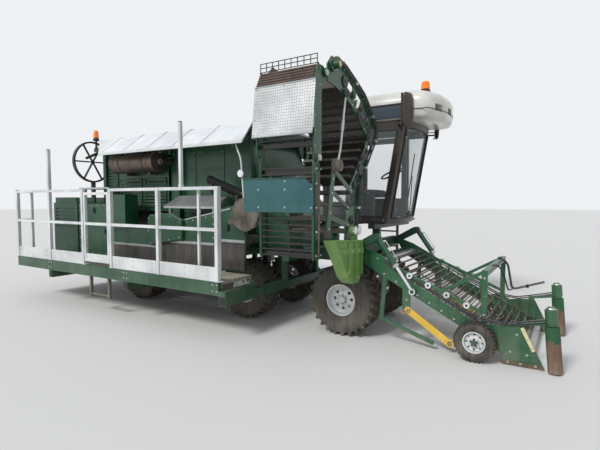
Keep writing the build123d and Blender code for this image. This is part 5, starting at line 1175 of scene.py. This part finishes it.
# %% Idlers, pipes and cylinder glands
idler = spun("idler_disc", [(0, -0.006, 0.001), (0, -0.006, 0.014), (0, -0.002, 0.018), (0, -0.003, 0.030), (0, -0.008, 0.033),
                            (0, -0.004, 0.037), (0, 0.000, 0.036), (0, 0.000, 0.001)], 32)
idlers = [copied(idler, "idler", (x, -0.746, 0.925 - (x - 2.48) * 0.41546), (0, 0, 0)) for x in (2.650, 2.868, 3.078, 3.294)]
bpy.data.objects.remove(idler)
both_dressed(joined("header_idlers", idlers), white, "white_paint", "header")
idler_bolts = [(x, -0.752, 0.925 - (x - 2.48) * 0.41546) for x in (2.650, 2.868, 3.078, 3.294)]
both_dressed(bolts("idler_bolts", "-y", idler_bolts, 0.012), hose, "dark_steel", "header")
pipes = [steel_pipe("pipe", [(2.33, -0.728, 1.010), (2.52, -0.728, 0.900), (3.42, -0.728, 0.470), (3.64, -0.728, 0.445),
                             (3.80, -0.757, 0.478), (4.055, -0.760, 0.545)], 0.008, 0.03),
         steel_pipe("pipe", [(2.33, -0.728, 0.985), (2.51, -0.728, 0.880), (3.42, -0.728, 0.448), (3.66, -0.728, 0.425),
                             (3.81, -0.760, 0.458), (4.050, -0.763, 0.520)], 0.008, 0.03)]
both_dressed(joined("header_pipes", pipes), hose, "dark_steel", "header")
LIFT_HEAD, LIFT_WAY, LIFT_SIDE = Vector((2.257, -0.790, 1.300)), Vector((0.58136, 0, -0.81364)), Vector((0.81364, 0, 0.58136))
gland = [round_bar("gland", LIFT_HEAD + LIFT_WAY * 0.392, LIFT_HEAD + LIFT_WAY * 0.428, 0.041, sides=24, edge=0.004)]
port = LIFT_HEAD + LIFT_WAY * 0.095 + LIFT_SIDE * 0.030
gland += [round_bar("port", port, port + LIFT_SIDE * 0.024, 0.014, sides=6, edge=0.002)]
far_port = LIFT_HEAD + LIFT_WAY * 0.375 + LIFT_SIDE * 0.030
gland += [round_bar("port", far_port, far_port + LIFT_SIDE * 0.024, 0.014, sides=6, edge=0.002)]
gland += [steel_pipe("pipe", [port + LIFT_SIDE * 0.020, port + LIFT_SIDE * 0.034, far_port + LIFT_SIDE * 0.034,
                              far_port + LIFT_SIDE * 0.018], 0.006, 0.010)]
both_dressed(joined("cylinder_glands", gland), bright, "galvanised", "lift_barrels")
caps = [round_bar("cap", (4.1025, -0.745, 0.640), (4.101, -0.745, 0.668), 0.045, sides=6, edge=0.006)]
both_dressed(joined("divider_motor_caps", caps), bright, "galvanised", "header")
for model in (wheel_model, small_wheel, bearing_model):
    bpy.data.objects.remove(model)
print("header done")

# %% [markdown]
# ## Beacons and mirrors
# A beacon is a ribbed amber dome on a black base, both turned about their own upright axis.
# The mirrors are rounded housings on bent tube arms, with the glass facing the driver.

# %% Beacons
def beacon(name, x, y, foot, radius, height):
    """Dome and base of a flashing lamp that stands on its foot point."""
    base = spun(name + "_base", [(x, y, foot), (x + radius * 1.10, y, foot), (x + radius * 1.10, y, foot + height * 0.12),
                                 (x + radius * 0.86, y, foot + height * 0.24), (x, y, foot + height * 0.24)], 32,
                axis=(0, 0, 1), centre=(x, y, foot))
    low, rib = foot + height * 0.24, height * 0.045
    outline = [(x, y, low)]
    for i in range(12):
        swell = radius * (0.98 - 0.010 * i) * (1.0 if i % 2 else 0.95)
        outline.append((x + swell, y, low + rib * (i + 0.5)))
    top = low + rib * 12
    outline += [(x + radius * 0.80, y, top + height * 0.09), (x + radius * 0.45, y, foot + height * 0.97), (x, y, foot + height)]
    dome = spun(name + "_dome", outline, 32, axis=(0, 0, 1), centre=(x, y, foot))
    return base, dome


front_base, front_dome = beacon("front_beacon", 2.400, 0.620, 3.285, 0.066, 0.164)
rear_base, rear_dome = beacon("rear_beacon", -3.390, -0.760, 2.850, 0.050, 0.200)
rod = round_bar("beacon_rod", (-3.390, -0.760, 2.700), (-3.390, -0.760, 2.860), 0.018, edge=0.003)
collar = round_bar("rod_collar", (-3.390, -0.760, 2.700), (-3.390, -0.760, 2.730), 0.030, sides=24, edge=0.005)
dress(joined("beacon_bases", [front_base, rear_base, rod, collar]), seal, "cab_plastic", "chassis", "beacons")
dress(joined("beacon_domes", [front_dome, rear_dome]), amber, "amber_plastic", "chassis", "beacons", smooth_below=50)


# %% Mirrors
def mirror_pieces(middle, arm_y):
    """Housing, glass and arms of one mirror, turned a little towards the driver."""
    housing = slab("housing", (-0.030, -0.100, -0.235), (0.050, 0.100, 0.235), 0.035)
    modify(housing, "SUBSURF", levels=3)
    rim = slab("rim", (-0.036, -0.090, -0.225), (-0.018, 0.090, 0.225), 0.016)
    face = slab("face", (-0.040, -0.078, -0.210), (-0.034, 0.078, 0.210), 0.002)
    housing = copied(joined("head", [housing, rim]), "mirror_housing", middle, (0, 0, -25))
    face = copied(face, "mirror_face", middle, (0, 0, -25))
    for name in ("head", "face"):
        bpy.data.objects.remove(bpy.data.objects[name])
    arms = [steel_pipe("arm", [(2.165, 0.225, z), (2.165, arm_y, z), (2.310, arm_y, z)], radius, 0.03)
            for z, radius in ((2.795, 0.013), (2.840, 0.008))]
    foot = slab("foot", (2.140, 0.205, 2.765), (2.215, 0.224, 2.855), 0.006)
    return joined("mirror_housing", [housing, *arms, foot]), face


housing, face = mirror_pieces((2.312, 0.090, 2.960), 0.130)
twin_housing, twin_face = other_side(housing, "mirror_housing_left", 0.820), other_side(face, "mirror_face_left", 0.820)
dress(housing, brown, "brown_trim", "chassis", "mirrors")
dress(twin_housing, brown, "brown_trim", "chassis", "mirrors")
dress(joined("mirror_faces", [face, twin_face]), mirror_face, "window_glass", "chassis")
print("beacons and mirrors done")

# %% [markdown]
# ## The cab
# Windows sit in rubber seals that follow the bowed front. Lamps fill the roof's recesses, a
# wiper rests on the windscreen, and the roof has a gasket under it.


# %% Seals, lamps and wiper
def front_x(y, z, proud=0.0):
    """The leaning, bowed windscreen surface of the cab."""
    return 1.985 + (z - 1.400) * 0.1678 + 0.090 * (1 - ((y - 0.820) / 0.600) ** 2) + proud


def along_front(z, y0, y1, proud, count=9):
    return [(front_x(p[0], z, proud), p[0], z) for p in spread((y0, 0, 0), (y1, 0, 0), count)]


bottom = along_front(1.480, 0.310, 1.330, 0.004)
top = along_front(2.760, 1.330, 0.310, 0.004)
seals = [steel_pipe("seal", [*bottom, *top, bottom[0]], 0.011, 0.006)]
seals.append(steel_pipe("seal", [(1.030, 0.218, 1.500), (front_x(0.22, 1.5, -0.075), 0.218, 1.500), (front_x(0.22, 2.74, -0.075), 0.218, 2.740),
                                 (1.030, 0.218, 2.740), (1.030, 0.218, 1.500), (1.090, 0.218, 1.500)], 0.011, 0.03))
seals.append(steel_pipe("seal", [(0.948, 0.34, 1.70), (0.948, 1.30, 1.70), (0.948, 1.30, 2.76), (0.948, 0.34, 2.76), (0.948, 0.34, 1.70),
                                 (0.948, 0.40, 1.70)], 0.011, 0.03))
dress(joined("window_seals", seals), seal, "cab_plastic", "chassis")
door_seal = steel_pipe("door_seal", [(1.16, 1.421, 1.76), (1.80, 1.421, 1.76), (1.80, 1.421, 2.70), (1.16, 1.421, 2.70), (1.16, 1.421, 1.76),
                                     (1.20, 1.421, 1.76)], 0.010, 0.03)
handle = [slab("handle_plate", (1.800, 1.418, 1.925), (1.862, 1.430, 2.090), 0.005),
          steel_pipe("handle", [(1.832, 1.425, 1.945), (1.832, 1.452, 1.960), (1.832, 1.452, 2.060), (1.832, 1.425, 2.075)], 0.008, 0.02)]
dress(joined("door_fittings", [door_seal, *handle]), seal, "cab_plastic", "cab_door")
wiper = [steel_pipe("arm", [(front_x(0.82, 1.53, 0.014), 0.82, 1.53), (front_x(0.78, 1.70, 0.030), 0.78, 1.70),
                            (front_x(0.66, 2.10, 0.026), 0.66, 2.10)], 0.006, 0.02),
         steel_pipe("blade", [(front_x(0.68, 1.78, 0.014), 0.68, 1.78), (front_x(0.66, 2.10, 0.014), 0.66, 2.10),
                              (front_x(0.64, 2.42, 0.014), 0.64, 2.42)], 0.007, 0.02),
         round_bar("spindle", (front_x(0.82, 1.53) - 0.005, 0.82, 1.53), (front_x(0.82, 1.53) + 0.022, 0.82, 1.53), 0.016, edge=0.003)]
dress(joined("wiper", wiper), seal, "cab_plastic", "chassis")
lamps, rings = [], []
for y in (0.430, 0.820, 1.210):
    lamps.append(spun("lens", [(2.551, y, 3.010), (2.551, y, 3.052), (2.556, y, 3.050), (2.562, y, 3.030), (2.564, y, 3.010)], 28,
                      axis=(1, 0, 0), centre=(2.551, y, 3.010)))
    rings.append(slab("bezel", (2.5495, y - 0.088, 2.962), (2.554, y + 0.088, 3.058), 0.002))
dress(joined("roof_lamp_lenses", lamps), white_lens, "window_glass", "chassis")
dress(joined("roof_lamp_bezels", rings), hose, "cab_plastic", "chassis")


def roof_line(z, grow, x_rear, bow):
    """A line round the cab's roof at one height."""
    front = [(2.560 + grow + bow * (1 - ((p[0] - 0.820) / 0.640) ** 2), p[0], z) for p in
             spread((0.180 - grow, 0, 0), (1.460 + grow, 0, 0), 11)]
    return [(x_rear - grow, 0.180 - grow, z), *front, (x_rear - grow, 1.460 + grow, z), (x_rear - grow, 0.180 - grow, z)]


gasket = steel_pipe("roof_gasket", roof_line(2.980, 0.001, 0.900, 0.140), 0.006, 0.01)
dress(gasket, seal, "cab_plastic", "chassis")
hatch = [slab("frame", (1.45, 0.50, 3.286), (2.00, 1.14, 3.304), 0.008), slab("lid", (1.47, 0.52, 3.300), (1.98, 1.12, 3.318), 0.012)]
hatch += [slab("rib", (1.52, y - 0.012, 3.316), (1.93, y + 0.012, 3.326), 0.004) for y in (0.62, 0.72, 0.82, 0.92, 1.02)]
dress(joined("roof_hatch", hatch), cream, "cream_paint", "chassis")
red = smooth("red lens", (0.60, 0.012, 0.010), 0.12, 0.25)
marker = spun("roof_marker", [(2.460, 0.880, 3.230), (2.505, 0.880, 3.230), (2.505, 0.880, 3.262), (2.496, 0.880, 3.270),
                              (2.492, 0.880, 3.290), (2.478, 0.880, 3.304), (2.460, 0.880, 3.308)], 28, axis=(0, 0, 1),
              centre=(2.460, 0.880, 3.230))
dress(marker, red, "amber_plastic", "chassis")
trim = [slab("sill", (0.942, 0.205, 1.395), (1.960, 0.222, 1.440), 0.006), slab("sill", (0.942, 1.418, 1.395), (1.060, 1.432, 1.440), 0.006)]
dress(joined("cab_sills", trim), hose, "cab_plastic", "chassis")
dress(bolts("cab_bolts", "-y", [(x, 0.220, z) for x, z in ((0.99, 1.45), (1.45, 1.45), (1.94, 1.45), (0.99, 2.80), (1.60, 2.80),
                                                             (2.16, 2.80))], 0.009), bright, "galvanised", "chassis")
print("cab outside done")


# %% [markdown]
# ## Inside the cab
# The seat is a pair of padded cushions over a rubber bellows. A cushion starts as a box, is
# divided, bulged in its middle and rounded by subdivision.


# %% Seat, steering column and wheel
def cushion(name, size, bulge):
    """A stuffed block about the origin, thickest in the middle of its broad side."""
    deselect()
    bpy.ops.mesh.primitive_cube_add(size=1)
    bpy.context.object.scale = size
    piece = settled(name)
    bpy.ops.object.mode_set(mode="EDIT")
    bpy.ops.mesh.select_all(action="SELECT")
    bpy.ops.mesh.subdivide(number_cuts=7)
    bpy.ops.object.mode_set(mode="OBJECT")
    for vertex in piece.data.vertices:
        u, v = 2 * vertex.co.x / size[0], 2 * vertex.co.y / size[1]
        fold = 0.25 * math.cos(v * math.pi * 3) ** 2
        vertex.co.z *= 1 + bulge * (1 - u * u) * (1 - v * v) * (1 - fold)
    modify(piece, "SMOOTH", factor=0.6, iterations=4)
    return modify(piece, "SUBSURF", levels=1)


fabric = weathered("seat fabric", (0.060, 0.060, 0.065), gloss=0.85, dust=0.25, dust_height=2.4, scuffs=0.05, bump=0.5)
bottom_pad = copied(cushion("pad", (0.47, 0.46, 0.105), 0.35), "seat_cushion", (1.440, 0.820, 1.845))
back_pad = copied(bpy.data.objects["pad"], "seat_back", (0, 0, 0))
back_pad.scale = (1.32, 0.92, 0.95)
back_pad.rotation_euler = (0, math.radians(-95), 0)
back_pad.location = (1.208, 0.820, 2.185)
bpy.context.view_layer.objects.active = back_pad
back_pad = settled("seat_back")
bpy.data.objects.remove(bpy.data.objects["pad"])
for pad in (bottom_pad, back_pad):
    dress(pad, fabric, "cab_plastic", "chassis", "cab_interior", smooth_below=60)
folds = [(1.375, 0.820, 1.445)]
for i in range(8):
    folds += [(1.375 + 0.118, 0.820, 1.460 + i * 0.040), (1.375 + 0.098, 0.820, 1.480 + i * 0.040)]
folds += [(1.375, 0.820, 1.795)]
bellows = spun("seat_bellows", folds, 28, axis=(0, 0, 1), centre=(1.375, 0.820, 1.445))
pan = slab("seat_pan", (1.215, 0.600, 1.780), (1.670, 1.040, 1.800), 0.006)
column = cut_plate("column", [(1.845, 0.785, 1.445), (1.925, 0.785, 1.445), (1.875, 0.785, 2.120), (1.805, 0.785, 2.100)], (0, 0.070, 0),
                   0.014)
console = cut_plate("console", [(1.300, 0.350, 1.445), (1.720, 0.350, 1.445), (1.720, 0.350, 1.800), (1.560, 0.350, 1.880),
                                (1.300, 0.350, 1.880)], (0, 0.120, 0), 0.020)
levers = [steel_pipe("lever", [(x, 0.400, 1.860), (x + 0.02, 0.400, 1.990)], 0.007, 0.01) for x in (1.40, 1.48, 1.56)]
knobs = [round_bar("knob", (x + 0.018, 0.400, 1.980), (x + 0.024, 0.400, 2.020), 0.018, sides=20, edge=0.008) for x in (1.40, 1.48, 1.56)]
deselect()
bpy.ops.mesh.primitive_torus_add(major_radius=0.176, minor_radius=0.013, major_segments=40, minor_segments=10)
wheel = bpy.context.object
spokes = [round_bar("spoke", (0, 0, -0.012), (0.172 * math.cos(a), 0.172 * math.sin(a), 0), 0.010) for a in (0.5, 2.6, 4.71)]
hub = spun("hub", [(0, 0, -0.045), (0.034, 0, -0.045), (0.042, 0, 0.004), (0.030, 0, 0.012), (0, 0, 0.014)], 24, axis=(0, 0, 1))
steering = copied(joined("steering", [wheel, *spokes, hub]), "steering_wheel", (1.843, 0.820, 2.152), (0, -25, 0))
bpy.data.objects.remove(bpy.data.objects["steering"])
dress(joined("cab_furniture", [bellows, pan, column, console, *levers, *knobs, steering]), moulded, "cab_plastic", "chassis",
      "cab_interior")
print("cab inside done")

# %% [markdown]
# ## Octagon cover, breather pipe and rear cabinet
# The octagon is pressed sheet with folds to its corners. A corrugated pipe crosses in front
# of the wall. The rear cabinet has two doors with hinges, handles and lamps.

# %% Folds, corrugated pipe and doors
CENTRE = (0.651, 1.555)
corners = [math.radians(22.5 + 45 * i) for i in range(8)]
folds = [round_bar("fold", (CENTRE[0], -1.331, CENTRE[1]), (CENTRE[0] + 0.212 * math.cos(a), -1.331, CENTRE[1] + 0.212 * math.sin(a)),
                   0.005, sides=8) for a in corners]
ring = [(CENTRE[0] + 0.214 * math.cos(a), -1.330, CENTRE[1] + 0.214 * math.sin(a)) for a in corners]
folds.append(steel_pipe("rim", [*ring, ring[0]], 0.007, 0.01))
folds.append(spun("boss", [(CENTRE[0], -1.342, CENTRE[1]), (CENTRE[0] + 0.030, -1.340, CENTRE[1]), (CENTRE[0] + 0.036, -1.328, CENTRE[1]),
                           (CENTRE[0], -1.328, CENTRE[1])], 24, centre=(CENTRE[0], -1.33, CENTRE[1])))
dress(joined("octagon_folds", folds), drab, "brown_grey_paint", "chassis")
core = round_bar("core", (-0.290, -1.000, 2.040), (0.370, -1.000, 1.810), 0.052, sides=24)
hoop = spun("hoop", [(-0.280, -1.000, 2.086), (-0.272, -1.000, 2.102), (-0.264, -1.000, 2.102), (-0.256, -1.000, 2.083)], 24,
            axis=(1, 0, 0), centre=(-0.268, -1.000, 2.033))
ends = [slab("saddle", (x - 0.03, -1.060, z - 0.18), (x + 0.03, -0.940, z - 0.02), 0.006) for x, z in ((-0.20, 2.01), (0.28, 1.84))]
dress(joined("corrugated_pipe", [core, rowed(hoop, 22, (0.0290, 0, -0.0101)), *ends]), hose, "dark_steel", "chassis")
doors = []
for y0, y1 in ((-1.100, -0.035), (0.035, 1.100)):
    doors.append(slab("door", (-4.212, y0, 0.64), (-4.204, y1, 1.66), 0.003))
    doors += [slab("fold", (-4.220, a, c), (-4.210, b, d), 0.004) for a, b, c, d in
              ((y0, y1, 0.64, 0.67), (y0, y1, 1.63, 1.66), (y0, y0 + 0.03, 0.64, 1.66), (y1 - 0.03, y1, 0.64, 1.66))]
    middle = (y0 + y1) / 2
    doors += [slab("rib", (-4.218, middle - 0.34, z), (-4.210, middle + 0.34, z + 0.030), 0.004) for z in (0.86, 1.00, 1.36, 1.50)]
dress(joined("cabinet_doors", doors), painted_shade_green, "green_paint", "chassis")
hardware = [slab("handle_plate", (-4.224, s * 0.075 - 0.020, 1.10), (-4.214, s * 0.075 + 0.020, 1.26), 0.004) for s in (-1, 1)]
hardware += [round_bar("hinge", (-4.214, s * 1.108, z), (-4.214, s * 1.108, z + 0.07), 0.010, edge=0.002) for s in (-1, 1)
             for z in (0.74, 1.50)]
dress(joined("cabinet_hardware", hardware), hose, "dark_steel", "chassis")
tail, bezels = [], []
for y in (-1.040, 1.040):
    centre = (-4.214, y, 0.555)
    tail.append(spun("lens", [(-4.222, y, 0.555), (-4.222, y, 0.597), (-4.232, y, 0.592), (-4.238, y, 0.575), (-4.239, y, 0.555)], 28,
                     axis=(1, 0, 0), centre=centre))
    bezels.append(spun("bezel", [(-4.200, y, 0.555), (-4.200, y, 0.606), (-4.228, y, 0.606), (-4.230, y, 0.598), (-4.222, y, 0.597),
                                 (-4.222, y, 0.555)], 28, axis=(1, 0, 0), centre=centre))
    bezels.append(slab("lamp_bracket", (-4.202, y - 0.020, 0.540), (-4.192, y + 0.020, 0.660), 0.003))
dress(joined("tail_lamps", tail), red, "amber_plastic", "chassis")
dress(joined("tail_lamp_bezels", bezels), hose, "cab_plastic", "chassis")
print("rear done")

# %% [markdown]
# ## Platform and header fittings
# The platform's edge is bolted to its cross beams, whose ends are capped. A bent feeler of
# black pipe reaches forward from the header's cross bar, held by two clamps.

# %% Platform bolts, beam caps and feeler
edge_bolts = [(x + d, -1.805, z) for x in (-3.15, -1.17, 0.56) for d in (-0.035, 0.035) for z in (0.620, 0.700)]
both_dressed(bolts("platform_bolts", "-y", edge_bolts, 0.012), bright, "galvanised", "chassis")
caps = [slab("cap", (x - 0.044, -1.812, 0.456), (x + 0.044, -1.804, 0.564), 0.004) for x in (-3.150, -1.170, 0.680)]
both_dressed(joined("beam_caps", caps), hose, "cab_plastic", "chassis")
feelers = [steel_pipe("pipe", [(3.470, y, 0.990), (3.560, y, 0.940), (3.620, y, 0.600), (3.980, y, 0.730)], 0.011, 0.05)
           for y in (0.395, 0.430)]
feelers += [slab("clamp", (3.445, 0.375, 0.980), (3.495, 0.450, 1.006), 0.004), slab("clamp", (3.780, 0.380, 0.640), (3.810, 0.445, 0.680), 0.004)]
feelers.append(steel_pipe("pipe", [(3.470, -0.300, 0.985), (3.540, -0.290, 1.010), (3.600, -0.240, 0.880), (3.610, 0.100, 0.640),
                                   (3.640, 0.395, 0.615)], 0.009, 0.06))
dress(joined("header_feeler", feelers), hose, "dark_steel", "header")
print("platform and feeler done")

# %% [markdown]
# ## Moulded cab roof
# The roof is one smooth moulding. Outlines are drawn at several heights, bridged into a skin,
# and the lamp recesses are cut from its front. It stands where the plain CAD roof is.


# %% Roof skin
def roof_outline(z, inset):
    """The roof's rounded outline at one height, with its front bowed forward."""
    x0, x1, y0, y1 = 0.900 + inset, 2.560 - inset, 0.180 + inset, 1.460 - inset
    side = [(x0, y0 + 0.090), (x0 + 0.008, y0 + 0.040), (x0 + 0.034, y0 + 0.010), (x0 + 0.090, y0), (x1 - 0.160, y0),
            (x1 - 0.060, y0 + 0.012), (x1 + 0.005, y0 + 0.055), (x1 + 0.046, y0 + 0.120), (x1 + 0.082, y0 + 0.220),
            (x1 + 0.116, y0 + 0.360)]
    middle = (y0 + y1) / 2
    front = [(x1 + 0.134, middle - 0.14), (x1 + 0.140, middle), (x1 + 0.134, middle + 0.14)]
    far = [(x, y0 + y1 - y) for x, y in reversed(side)]
    return [(x, y, z) for x, y in [*side, *front, *far]]


loops = []
for z, inset in ((2.860, 0.045), (2.872, 0.022), (2.905, 0.008), (2.980, 0.0), (3.110, 0.0), (3.160, 0.012), (3.205, 0.045),
                 (3.245, 0.100), (3.272, 0.165), (3.286, 0.235), (3.290, 0.300)):
    outline = roof_outline(z, inset)
    loops.append(drawn("loop", [*outline, outline[0]]))
roof = joined("roof_moulding", loops)
bpy.ops.object.mode_set(mode="EDIT")
bpy.ops.mesh.select_all(action="SELECT")
bpy.ops.mesh.remove_doubles(threshold=0.0001)
bpy.ops.mesh.bridge_edge_loops()
bpy.ops.mesh.select_all(action="SELECT")
bpy.ops.mesh.fill_holes(sides=0)
bpy.ops.mesh.select_all(action="SELECT")
bpy.ops.mesh.normals_make_consistent(inside=False)
bpy.ops.object.mode_set(mode="OBJECT")
for y in (0.430, 0.820, 1.210):
    drilled(roof, slab("recess", (2.550, y - 0.090, 2.962), (2.900, y + 0.090, 3.058), 0.006))
dress(roof, cream, "cream_paint", "chassis", "cab_roof", smooth_below=42)
print("roof moulding", len(roof.data.polygons), "faces")

# %% [markdown]
# ## Brackets along the neck
# Small gusset plates stand out from the neck's outer edge and carry a third pipe, held to
# each by a bolt.

# %% Gussets and outer pipe
gussets, tips = [], []
for station in (2, 3, 4, 5, 6, 8, 9):
    root, tip = Vector(across_neck(station, 0.06, 1.952)), Vector(across_neck(station, -0.17, 1.952))
    along = (Vector(across_neck(station + 1, 0.0)) - Vector(across_neck(station - 1, 0.0))).normalized() * 0.048
    gussets.append(cut_plate("gusset", [root - along, tip - along * 0.45, tip + along * 0.45, root + along], (-0.006, 0, 0), 0.001))
    tips.append(tip)
dress(joined("neck_gussets", gussets), green, "green_paint", "chassis")
outer_pipe = steel_pipe("outer_pipe", [(1.985, -1.330, 3.290), *[across_neck(s, -0.10, 1.963) for s in (2, 3, 4, 5, 6, 7, 8, 9)],
                                       across_neck(10, 0.05, 1.963), (1.962, -0.640, 1.500)], 0.010, 0.04)
dress(outer_pipe, hose, "dark_steel", "chassis")
dress(bolts("gusset_bolts", "+x", [(1.952, tip.y, tip.z) for tip in tips], 0.009), bright, "galvanised", "chassis")
print("neck brackets", len(gussets))

# %% Return run of the header's chain
run = []
for i in range(30):
    x = 2.42 + i * 0.041
    z = belt_height(x, -0.125)
    run.append(round_bar("rod", (x, -0.690, z), (x, 0.690, z), 0.006, sides=8))
for y in (-0.660, -0.220, 0.220, 0.660):
    run.append(cut_plate("belt", [(2.40, y - 0.016, belt_height(2.40, -0.119)), (3.62, y - 0.016, belt_height(3.62, -0.119)),
                                  (3.62, y - 0.016, belt_height(3.62, -0.131)), (2.40, y - 0.016, belt_height(2.40, -0.131))],
                         (0, 0.032, 0), 0))
dress(joined("chain_return_run", run), chain_brown, "dark_steel", "header")
print("return run", len(run), "parts")

# %% [markdown]
# ## Cab body with slanted side windows
# The cab is mostly glass. Flat walls get their windows cut out, and the front pillars, rails
# and windscreen lean with the bowed front: an outline drawn level is pushed up along the lean.


# %% Walls, pillars and rails
def front_edge(z, back=0.0):
    """Front edge of the cab's side walls at a height, or a distance behind it."""
    return front_x(0.220, z) - back


def side_wall(name, y):
    outline = [(0.950, y, 1.400), (1.985, y, 1.400), (2.230, y, 2.860), (0.950, y, 2.860)]
    return cut_plate(name, outline, (0, 0.050, 0), 0)


def slanted(name, x0, z0, z1, y, back, push):
    """A sheet with a straight rear edge and a front edge that leans with the pillar."""
    return cut_plate(name, [(x0, y, z0), (front_edge(z0, back), y, z0), (front_edge(z1, back), y, z1), (x0, y, z1)], push, 0)


def front_band(name, z, height, y0, y1, proud, depth):
    """A bowed band across the front that leans with it."""
    outer = along_front(z, y0, y1, proud)
    inner = along_front(z, y1, y0, proud - depth)
    return cut_plate(name, [*outer, *inner], (height * 0.1678, 0, height), 0)


right_wall = drilled(side_wall("right_wall", 0.220), slanted("cut", 1.030, 1.500, 2.740, 0.180, 0.075, (0, 0.130, 0)))
left_wall = drilled(side_wall("left_wall", 1.370), slab("cut", (1.068, 1.330, 1.448), (1.892, 1.460, 2.792), 0.0002))
drilled(left_wall, slanted("cut", 1.912, 1.560, 2.740, 1.330, 0.045, (0, 0.130, 0)))
rear_wall = drilled(slab("rear_wall", (0.950, 0.222, 1.400), (1.000, 1.418, 2.860), 0.0002),
                    slab("cut", (0.900, 0.340, 1.700), (1.050, 1.300, 2.760), 0.0002))
floor = cut_plate("floor", [(0.952, 0.222, 1.400), *along_front(1.400, 0.222, 1.418, -0.002), (0.952, 1.418, 1.400)], (0, 0, 0.040), 0)
body = [right_wall, left_wall, rear_wall, floor, front_band("low_rail", 1.401, 0.079, 0.222, 1.418, 0, 0.050),
        front_band("top_rail", 2.760, 0.099, 0.222, 1.418, 0, 0.050)]
for y0, y1 in ((0.221, 0.310), (1.330, 1.419)):
    body.append(front_band("pillar", 1.402, 1.456, y0, y1, -0.001, 0.052))
for z in (1.650, 2.500):
    body.append(round_bar("knuckle", (1.074, 1.430, z - 0.040), (1.074, 1.430, z - 0.002), 0.010, edge=0.001))
    body.append(slab("hinge_leaf", (1.048, 1.416, z - 0.040), (1.068, 1.432, z - 0.002), 0.001))
dress(joined("cab_body", body), brown, "brown_trim", "chassis", "cab_shell")
panes = [slanted("right_pane", 1.024, 1.494, 2.746, 0.236, 0.069, (0, 0.006, 0)),
         slanted("left_pane", 1.906, 1.554, 2.746, 1.396, 0.040, (0, 0.006, 0)),
         slab("rear_pane", (0.966, 0.334, 1.694), (0.972, 1.306, 2.766), 0.0005),
         front_band("windscreen", 1.474, 1.292, 0.304, 1.336, -0.012, 0.006)]
dress(joined("cab_panes", panes), glass, "window_glass", "chassis", "cab_glass")
side_panel = smooth("roof side panel", (0.045, 0.062, 0.078), 0.10, 0.20)
panels = [slab("panel", (0.990, 0.172, 2.884), (2.230, 0.190, 3.056), 0.006)]
gutter = [slab("gutter", (0.960, 0.168, 3.058), (2.300, 0.190, 3.082), 0.005)]
for piece, finish, name in ((panels[0], side_panel, "roof_side_panel"), (gutter[0], hose, "roof_gutter")):
    piece.name = name
    dress(other_side(piece, name + "_left", 0.820), finish, "cab_plastic", "chassis")
    dress(piece, finish, "cab_plastic", "chassis")
print("cab body", len(body), "parts")

# %% Finish
deselect()
